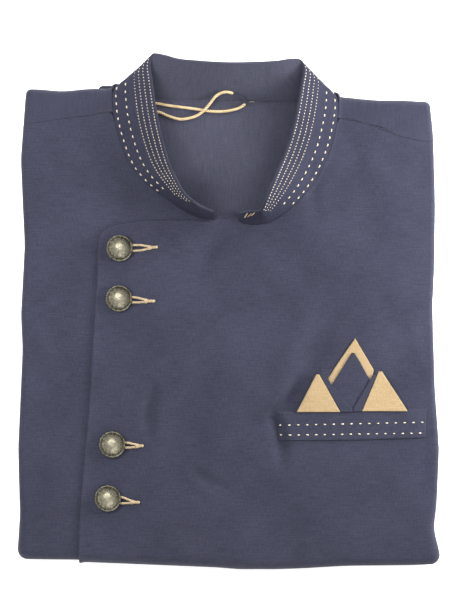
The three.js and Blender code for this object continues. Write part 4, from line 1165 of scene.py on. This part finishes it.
# Name, height over the lap in mm, material, slot, flat size in m, and then y and x down the left
# and the right rail in mm
SQUARES = [
    ("square_peak", 0.35, TAN, "tan_cloth", (0.039, 0.060),
     [(-20.8, 103.1), (-54.0, 80.3), (-62.0, 82.0), (-80.6, 96.0)],
     [(-20.8, 103.3), (-46.5, 118.5), (-60.0, 116.0), (-80.6, 106.0)]),
    ("square_diamond", 1.6, NAVY, "navy_cloth", (0.032, 0.050),
     [(-32.4, 100.6), (-33.6, 99.6), (-37.0, 97.6), (-58.4, 84.2), (-80.6, 91.4)],
     [(-32.4, 102.2), (-33.6, 103.2), (-37.0, 105.4), (-54.6, 115.2), (-80.5, 110.0)]),
    ("square_left_band", 2.9, NAVY, "navy_cloth", (0.014, 0.040),
     [(-46.1, 75.8), (-49.5, 74.2), (-51.0, 74.4), (-80.75, 91.3)],
     [(-46.1, 84.7), (-52.8, 80.9), (-54.2, 81.2), (-58.0, 83.6), (-78.4, 101.0), (-80.75, 100.8)]),
    ("square_left_point", 2.9, TAN, "tan_cloth", (0.037, 0.032),
     [(-50.1, 71.4), (-80.9, 55.3)],
     [(-50.1, 73.7), (-80.9, 91.0)]),
    ("square_right_band", 2.9, NAVY, "navy_cloth", (0.010, 0.034),
     [(-50.6, 117.3), (-56.9, 114.0), (-78.0, 101.6), (-80.5, 101.6)],
     [(-50.6, 120.6), (-80.5, 108.1)]),
    ("square_right_point", 2.9, TAN, "tan_cloth", (0.039, 0.034),
     [(-47.7, 122.4), (-80.3, 108.8)],
     [(-47.7, 125.0), (-80.0, 146.0)]),
]
WELT_LEFT = [(-80.9, 39.7), (-104.3, 41.2)]
WELT_RIGHT = [(-80.9, 161.9), (-104.3, 161.1)]
WELT_WALL = 1.3
# The strip bends: how far it moves up, in mm, at three places along it
WELT_BEND = [40, 100, 162], [0.0, 0.3, 2.1]


def lap_top(x, y):
    return core_top(x, y) + FIRST_HIGH + lap_rise(x)


def welt_lift(x, y):
    return 0.35 + 0.55 * smooth_step(y, -100, -84) * smooth_step(-x, -150, -120)


def railed_piece(left, right, low, thick, soft=0.9, columns=26, rows=40):
    """y falls from the top to the bottom, x = left(y) + s (right(y) - left(y)), and the wall lies
    at its height over the lap, closed in a round at all edges"""
    left, right = (np.array(rail, dtype=float)[::-1] for rail in (left, right))
    steps = np.array([0, 0.08, 0.25, 0.5, 0.85])
    bottom, top = left[0, 0], left[-1, 0]
    inner = np.linspace(bottom + 1.3, top - 1.3, rows)
    y = np.concatenate((bottom + steps, inner, top - steps[::-1]))[:, None]
    x_left = np.interp(y, left[:, 0], left[:, 1])
    x_right = np.interp(y, right[:, 0], right[:, 1])
    width = np.maximum(x_right - x_left, 0.05)
    near = steps[None, :] * np.minimum(1, width / 4)
    middle = np.linspace(0, 1, columns)[None, :] * (width - 2 * near[:, -1:] * 1.5) + near[:, -1:] * 1.5
    x = x_left + np.concatenate((near, middle, (width - near)[:, ::-1]), axis=1)
    y = y + 0 * x
    edge = np.minimum(np.minimum(x - x_left, x_right - x), np.minimum(y - bottom, top - y))
    half = thick / 2 * rounded(edge / soft)
    height = lap_top(x, y) + low(x, y) + thick / 2
    upper, lower = (np.stack((x, y, height + face), axis=-1) for face in (half, -half))
    return wall_mesh(upper, lower, np.stack((x, y), axis=-1))


square_pieces = []
for name, low, material, slot, _, left, right in SQUARES:
    mesh = railed_piece(left, right, lambda x, y: low + 0 * x, SQUARE_WALL)
    piece = make_piece(name + "_cloth", *mesh, material)
    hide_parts(name)
    square_pieces.append(piece)
welt_points, welt_faces, welt_flat = railed_piece(WELT_LEFT, WELT_RIGHT, welt_lift, WELT_WALL, 1.5, 90, 22)
welt_points[:, 1] += np.interp(welt_points[:, 0], *WELT_BEND)
welt = make_piece("welt_cloth", welt_points, welt_faces, welt_flat, NAVY)
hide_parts("pocket_welt")
print("pocket pieces:", [piece.name for piece in square_pieces + [welt]])

# %% Stitches on the welt
WELT_ROWS = [((42.1, -91.8), (158.3, -89.5)), ((42.8, -99.9), (156.5, -98.4))]
WELT_STITCHES = 17


def welt_stitches(start, end):
    """Evenly spaced places on a straight row, at the top of the welt"""
    share = np.linspace(0, 1, WELT_STITCHES)[:, None]
    spots = np.array(start) + (np.array(end) - np.array(start)) * share
    height = lap_top(*spots.T) + welt_lift(*spots.T) + WELT_WALL + 0.02
    ahead, up = (np.tile(way, (WELT_STITCHES, 1)) for way in ([1.0, 0.01, 0.0], [0.0, 0.0, 1.0]))
    return stitch_mesh(np.column_stack((spots, height)), ahead, up, 2.3, 0.48)


welt_thread = make_piece("welt_stitches", *join_meshes(*(welt_stitches(*row) for row in WELT_ROWS)), THREAD)
print(f"welt stitches: {len(welt_thread.data.polygons)} faces")

# %% [markdown]
# ## Buttons and their loops
#
# The buttons are domes of cast metal with a thin raised rim. A button is a half section that is
# turned once round. Each one is held by a thin cord that goes round its shank and back, and runs
# into the cloth as a short stem.

# %% Buttons
# In mm: middle of the button, outer end of its stem, where the loop joins the stem, and how far
# the loop's sides spread
BUTTONS = np.array([
    [-89.3, 53.0, -58.0, 54.0, -65.0, 53.6, 2.3],
    [-89.8, 12.0, -60.2, 9.8, -67.8, 9.9, 2.1],
    [-95.4, -107.2, -69.6, -108.4, -74.8, -108.7, 2.0],
    [-99.1, -151.4, -73.0, -155.0, -79.2, -154.7, 2.4],
])
LOOP_RADIUS = 1.0
STEM_RADIUS = 1.35
SHANK_RADIUS = 1.2
CORD_LIFT = 0.35
DENTS = 60
# Half section of a button: distance from its axis and height over the lap
BUTTON_SECTION = np.array([
    [1.2, 0.35], [1.2, 1.6], [1.2, 2.8], [5.0, 2.85], [9.5, 2.95], [10.3, 3.15], [10.75, 3.55], [10.8, 3.95],
    [10.65, 4.4], [10.3, 4.72], [9.9, 4.80], [9.6, 4.66], [9.35, 4.75], [9.1, 5.2], [8.6, 5.95], [8.0, 6.65],
    [7.2, 7.35], [6.2, 8.0], [5.0, 8.6], [3.7, 9.05], [2.4, 9.3], [1.2, 9.42], [0.4, 9.46],
])


def button_mesh(x, y, seed):
    """The section r(t), z(t) turned round, with shallow dents in the dome"""
    profile = smooth_curve(BUTTON_SECTION, np.linspace(0, 1, 84))
    angle = np.linspace(0, 2 * np.pi, 72, endpoint=False)[None, :]
    radius, height = profile[:, :1], profile[:, 1:]
    dome = smooth_step(height, 4.9, 5.8)
    spots = np.random.default_rng(seed).uniform(-9, 9, (DENTS, 2))
    px, py = radius * np.cos(angle), radius * np.sin(angle)
    dents = sum(np.exp(-((px - sx) ** 2 + (py - sy) ** 2) / 1.1) for sx, sy in spots)
    height = height - 0.04 * dents * dome + lap_top(np.array(x), np.array(y))
    rings = np.stack(np.broadcast_arrays(x + px, y + py, height), axis=-1)
    return tube_mesh(rings, np.stack((px, py), axis=-1))


def loop_path(x, y, join_x, join_y, spread):
    """From the stem along one side, round the shank and back along the other side. The half route
    is in mm along the line from the button's middle to the stem, and to its side"""
    tilt = np.arctan2(join_y - y, join_x - x)
    join = np.hypot(join_x - x, join_y - y)
    bend = SHANK_RADIUS + 0.4 + LOOP_RADIUS
    half = np.array([
        [join + 1.5, 0.9], [join - 2, 1.1], [join - 7, spread - 0.2], [11, spread], [5, bend], [0, bend],
        [-bend * 0.75, bend * 0.75],
    ])
    route = np.vstack((half, [[-bend * 1.05, 0]], half[::-1] * [1, -1]))
    px = x + route[:, 0] * np.cos(tilt) - route[:, 1] * np.sin(tilt)
    py = y + route[:, 0] * np.sin(tilt) + route[:, 1] * np.cos(tilt)
    return np.column_stack((px, py, lap_top(px, py) + CORD_LIFT + LOOP_RADIUS))


def stem_path(join, end):
    """A straight line over the cloth that starts 2 mm inside the loop's two strands"""
    start = join - unit(end - join) * 2
    spots = start + np.linspace(0, 1, 30)[:, None] * (end - start)
    return np.column_stack((spots, lap_top(*spots.T) + CORD_LIFT + STEM_RADIUS))


for number, (x, y, end_x, end_y, join_x, join_y, spread) in enumerate(BUTTONS, start=1):
    button = make_piece(f"metal_button_{number}", *button_mesh(x, y, number), METAL)
    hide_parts(f"button_{number}")
    loop_line = smooth_curve(loop_path(x, y, join_x, join_y, spread), np.linspace(0, 1, 170))
    stem_line = stem_path(np.array([join_x, join_y]), np.array([end_x, end_y]))
    loop_mesh, loop_length = twisted_tube(loop_line, LOOP_RADIUS, 3, 4.5, 14, 0.7)
    stem_mesh, stem_length = twisted_tube(stem_line, STEM_RADIUS, 2, 4.0, 14, 0.66)
    loop = make_piece(f"cord_loop_{number}", *join_meshes(loop_mesh, stem_mesh), CORD)
    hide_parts(f"button_loop_{number}")
    print(f"button {number}: loop {loop_length + stem_length:.0f} mm of cord")

# %% [markdown]
# ## The folded layers
#
# Everything that is folded under is one closed form: the hidden skirts, the sleeves and the back.
# It is flat where it lies on the table. Its sides show the fold edges of four layers, one above
# the other, and each edge wanders in and out a little, as hand-folded cloth does.

# %% Folded layers
LOWER_HEIGHT = 8.4
HEM_LOWER_HEIGHT = 4.8
GROOVE_DEPTH = 2.5
# A fold that peeps out at the left shoulder: from x to x, and how far
PEEP_FROM, PEEP_TO, PEEP_REACH = -109.0, -88.0, 8.2
FOLDS = 4
FOLD_ROUND = 2.3
SUNK = 0.9


def border_walk(side_count, end_count, corner_count):
    """Places on the pack's edge in order, anticlockwise, with the way out at each"""
    y_low, y_high = -195.5, 179.0
    x_low, x_high = left_border(np.array(y_low)), right_border(np.array(y_low))
    x_low_top, x_high_top = left_border(np.array(y_high)), right_border(np.array(y_high))
    bottom_x = np.linspace(x_low, x_high, end_count)
    right_y = np.linspace(bottom_border(x_high), top_border(x_high_top), side_count)
    top_x = np.linspace(x_high_top, x_low_top, end_count)
    left_y = np.linspace(top_border(x_low_top), bottom_border(x_low), side_count)
    sides = [
        (bottom_x, bottom_border(bottom_x), -90), (right_border(right_y), right_y, 0),
        (top_x, top_border(top_x), 90), (left_border(left_y), left_y, 180),
    ]
    xs, ys, ways = [], [], []
    for x, y, way in sides:
        turns = np.linspace(0, 90, corner_count + 1)[1:-1]
        xs.append(np.concatenate((x, np.full(len(turns), x[-1]))))
        ys.append(np.concatenate((y, np.full(len(turns), y[-1]))))
        ways.append(np.concatenate((np.full(len(x), way), way + turns)))
    return np.concatenate(xs), np.concatenate(ys), np.radians(np.concatenate(ways))


border_x, border_y, border_way = border_walk(150, 140, 12)
hem_share = np.clip((roll_radius(border_y) - SIDE_ROLL) / (HEM_ROLL - SIDE_ROLL), 0, 1)
lower_height = LOWER_HEIGHT + (HEM_LOWER_HEIGHT - LOWER_HEIGHT) * np.minimum(1, 1.6 * hem_share)
border_run = np.concatenate(([0], np.cumsum(np.hypot(np.diff(border_x), np.diff(border_y)))))


def fold_reach(number):
    """How far a folded layer's edge reaches past the pack's edge, in mm"""
    middle = number >= FOLDS // 2
    inset = 1.9 + 0.9 * np.sin(1 + border_y / 51) if middle else 3.4 + 1.1 * np.sin(border_y / 37)
    wander = 0.45 * np.sin(border_run / 17 + 2.1 * number) + 0.25 * np.sin(border_run / 7.3 + 1.3 * number)
    reach = (SIDE_ROLL + FIRST_HIGH - inset + wander) * (1 - np.minimum(1, 2.2 * hem_share))
    peep = smooth_step(border_y, 150, 160) * smooth_step(border_x, PEEP_FROM, PEEP_FROM + 3)
    peep = peep * smooth_step(-border_x, -PEEP_TO, 3 - PEEP_TO)
    return reach + (PEEP_REACH - reach) * peep if middle else reach


def border_ring(reach, height):
    """The pack's edge moved outwards by the reach, at a height"""
    x, y = border_x + reach * np.cos(border_way), border_y + reach * np.sin(border_way)
    return np.column_stack((x, y, np.broadcast_to(height, x.shape)))


rings = []
for share in np.linspace(0.04, 0.985, 16):
    x, y = border_x * share, border_y * share
    rings.append(np.column_stack((x, y, core_top(x, y) - SUNK * smooth_step(1 - share, 0, 0.05))))
for angle in np.radians(np.linspace(0, 160, 14)):
    drop = roll_radius(border_y) * (1 - np.cos(angle))
    rings.append(border_ring(roll_radius(border_y) * np.sin(angle), core_top(border_x, border_y) - drop))
rings.append(border_ring(-GROOVE_DEPTH, lower_height * 1.14))
for number in reversed(range(FOLDS)):
    for bend in np.radians(np.linspace(84, -84 if number else -90, 9)):
        height = lower_height / FOLDS * (number + 0.5 + 0.5 * np.sin(bend))
        rings.append(border_ring(fold_reach(number) - FOLD_ROUND * (1 - np.cos(bend)), height))
for share in (0.9, 0.6, 0.3, 0.05):
    rings.append(border_ring(fold_reach(0) - FOLD_ROUND, 0.0) * share)
rings = np.array(rings)[:, ::-1]
ring_run = np.concatenate(([0], np.cumsum(np.linalg.norm(np.diff(rings, axis=0), axis=2).mean(axis=1))))
layers_flat = np.stack(np.broadcast_arrays(border_run[None, ::-1], ring_run[:, None]), axis=-1)
layers = make_piece("folded_layers_cloth", *tube_mesh(rings, layers_flat), NAVY)
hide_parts("folded_layers")
print(f"folded layers: {len(layers.data.polygons)} faces, {half_area(layers):.4f} square metres")

# %% [markdown]
# ## What each cloth piece is cut from
#
# Every sheet of cloth is listed with the size that it is cut to, and that size is printed. Only
# the part of the cut that lies on the pack is modelled on each piece, so these are the sizes of
# what shows. The area is given too, because none of these pieces is a plain rectangle.

SHEETS = [
    (right_front, (0.195, 0.385), "folded", ["back"]),
    (left_front, (0.315, 0.385), "folded", ["right_front"]),
    (back, (0.365, 0.400), "folded", ["folded_layers"]),
    (collar_outer, (0.410, 0.040), "stretched", ["collar_inner"]),
    (collar_inner, (0.405, 0.040), "stretched", ["back"]),
    (welt, (0.122, 0.026), "folded", ["left_front"]),
    (layers, (0.400, 0.400), "folded", []),
]
SHEETS += [(piece, row[4], "folded", ["left_front"]) for piece, row in zip(square_pieces, SQUARES)]
for piece, flat, held, rests_on in SHEETS:
    area = half_area(piece)
    min(area, flat[0] * flat[1])
    print(f"{piece.name}: cut {flat[0] * 1000:.0f} x {flat[1] * 1000:.0f} mm, area {area:.5f}")

# %% [markdown]
# ## Floor and light
#
# The garment lies on a plain pale floor. A front and a top lamp give a wide, soft light. The two
# windows at the right make the creases show, a lamp at the left lightens the cloth below the lap,
# and four small lamps lighten the shoulders and the hem. Only the front and the top lamp show in
# the metal of the buttons, which keeps their domes calm.

# %% Floor and light
FLOOR_HALF = 3000.0
FLOOR_GLOW = 0.40
ROOM_STRENGTH = 0.46
# Name, place, aim and side in metres, power in watts, and whether it shows in the metal
LAMPS = [
    ("right window", (0.50, 0.06, 0.24), (0.02, 0, 0), 0.22, 5.0, False),
    ("upper right window", (0.42, 0.50, 0.34), (0.02, 0.05, 0), 0.24, 3.3, False),
    ("left lamp", (-0.30, 0.06, 0.40), (-0.23, -0.02, 0), 0.24, 2.2, False),
    ("left shoulder lamp", (-0.16, 0.36, 0.12), (-0.12, 0.19, 0), 0.14, 0.45, False),
    ("right shoulder lamp", (0.16, 0.36, 0.12), (0.12, 0.19, 0), 0.14, 0.40, False),
    ("left hem lamp", (-0.16, -0.36, 0.14), (-0.14, -0.17, 0), 0.14, 0.16, False),
    ("right hem lamp", (0.16, -0.36, 0.14), (0.14, -0.17, 0), 0.14, 0.16, False),
    ("front", (0.15, -1.10, 0.90), (0, 0, 0), 0.80, 3, True),
    ("top", (-0.25, 0.45, 1.5), (0, 0, 0), 0.7, 6.2, True),
]


def soft_light(name, place, aim, side, power, mirrored):
    """A square lamp that faces its aim. One that is not mirrored does not show in the metal"""
    data = bpy.data.lights.new(name, "AREA")
    data.shape = "SQUARE"
    data.size = side
    data.energy = power
    lamp = bpy.data.objects.new(name, data)
    lamp.location = place
    direction = np.array(place) - np.array(aim)
    yaw = np.arctan2(direction[0], -direction[1])
    tilt = np.arctan2(np.hypot(direction[0], direction[1]), direction[2])
    lamp.rotation_euler = (float(tilt), 0.0, float(yaw))
    lamp.visible_glossy = mirrored
    bpy.context.scene.collection.objects.link(lamp)


floor_finish = Finish("floor", (0.92, 0.92, 0.92), 0.9)
floor_finish.shader.inputs["Emission Color"].default_value = (1, 1, 1, 1)
floor_finish.shader.inputs["Emission Strength"].default_value = FLOOR_GLOW
floor_corners = np.array([[-1, -1, 0], [1, -1, 0], [1, 1, 0], [-1, 1, 0]]) * FLOOR_HALF
floor_mesh = bpy.data.meshes.new("floor")
floor_mesh.from_pydata((floor_corners * MM).tolist(), [], [(0, 1, 2, 3)])
floor_mesh.materials.append(floor_finish.material)
floor = bpy.data.objects.new("floor", floor_mesh)
bpy.context.scene.collection.objects.link(floor)
for lamp in LAMPS:
    soft_light(*lamp)
world = bpy.data.worlds.new("room")
world.use_nodes = True
world.node_tree.nodes["Background"].inputs["Color"].default_value = (1, 1, 1, 1)
world.node_tree.nodes["Background"].inputs["Strength"].default_value = ROOM_STRENGTH
bpy.context.scene.world = world
bpy.context.scene.view_settings.view_transform = "Standard"
print(f"{len(LAMPS)} lamps set")
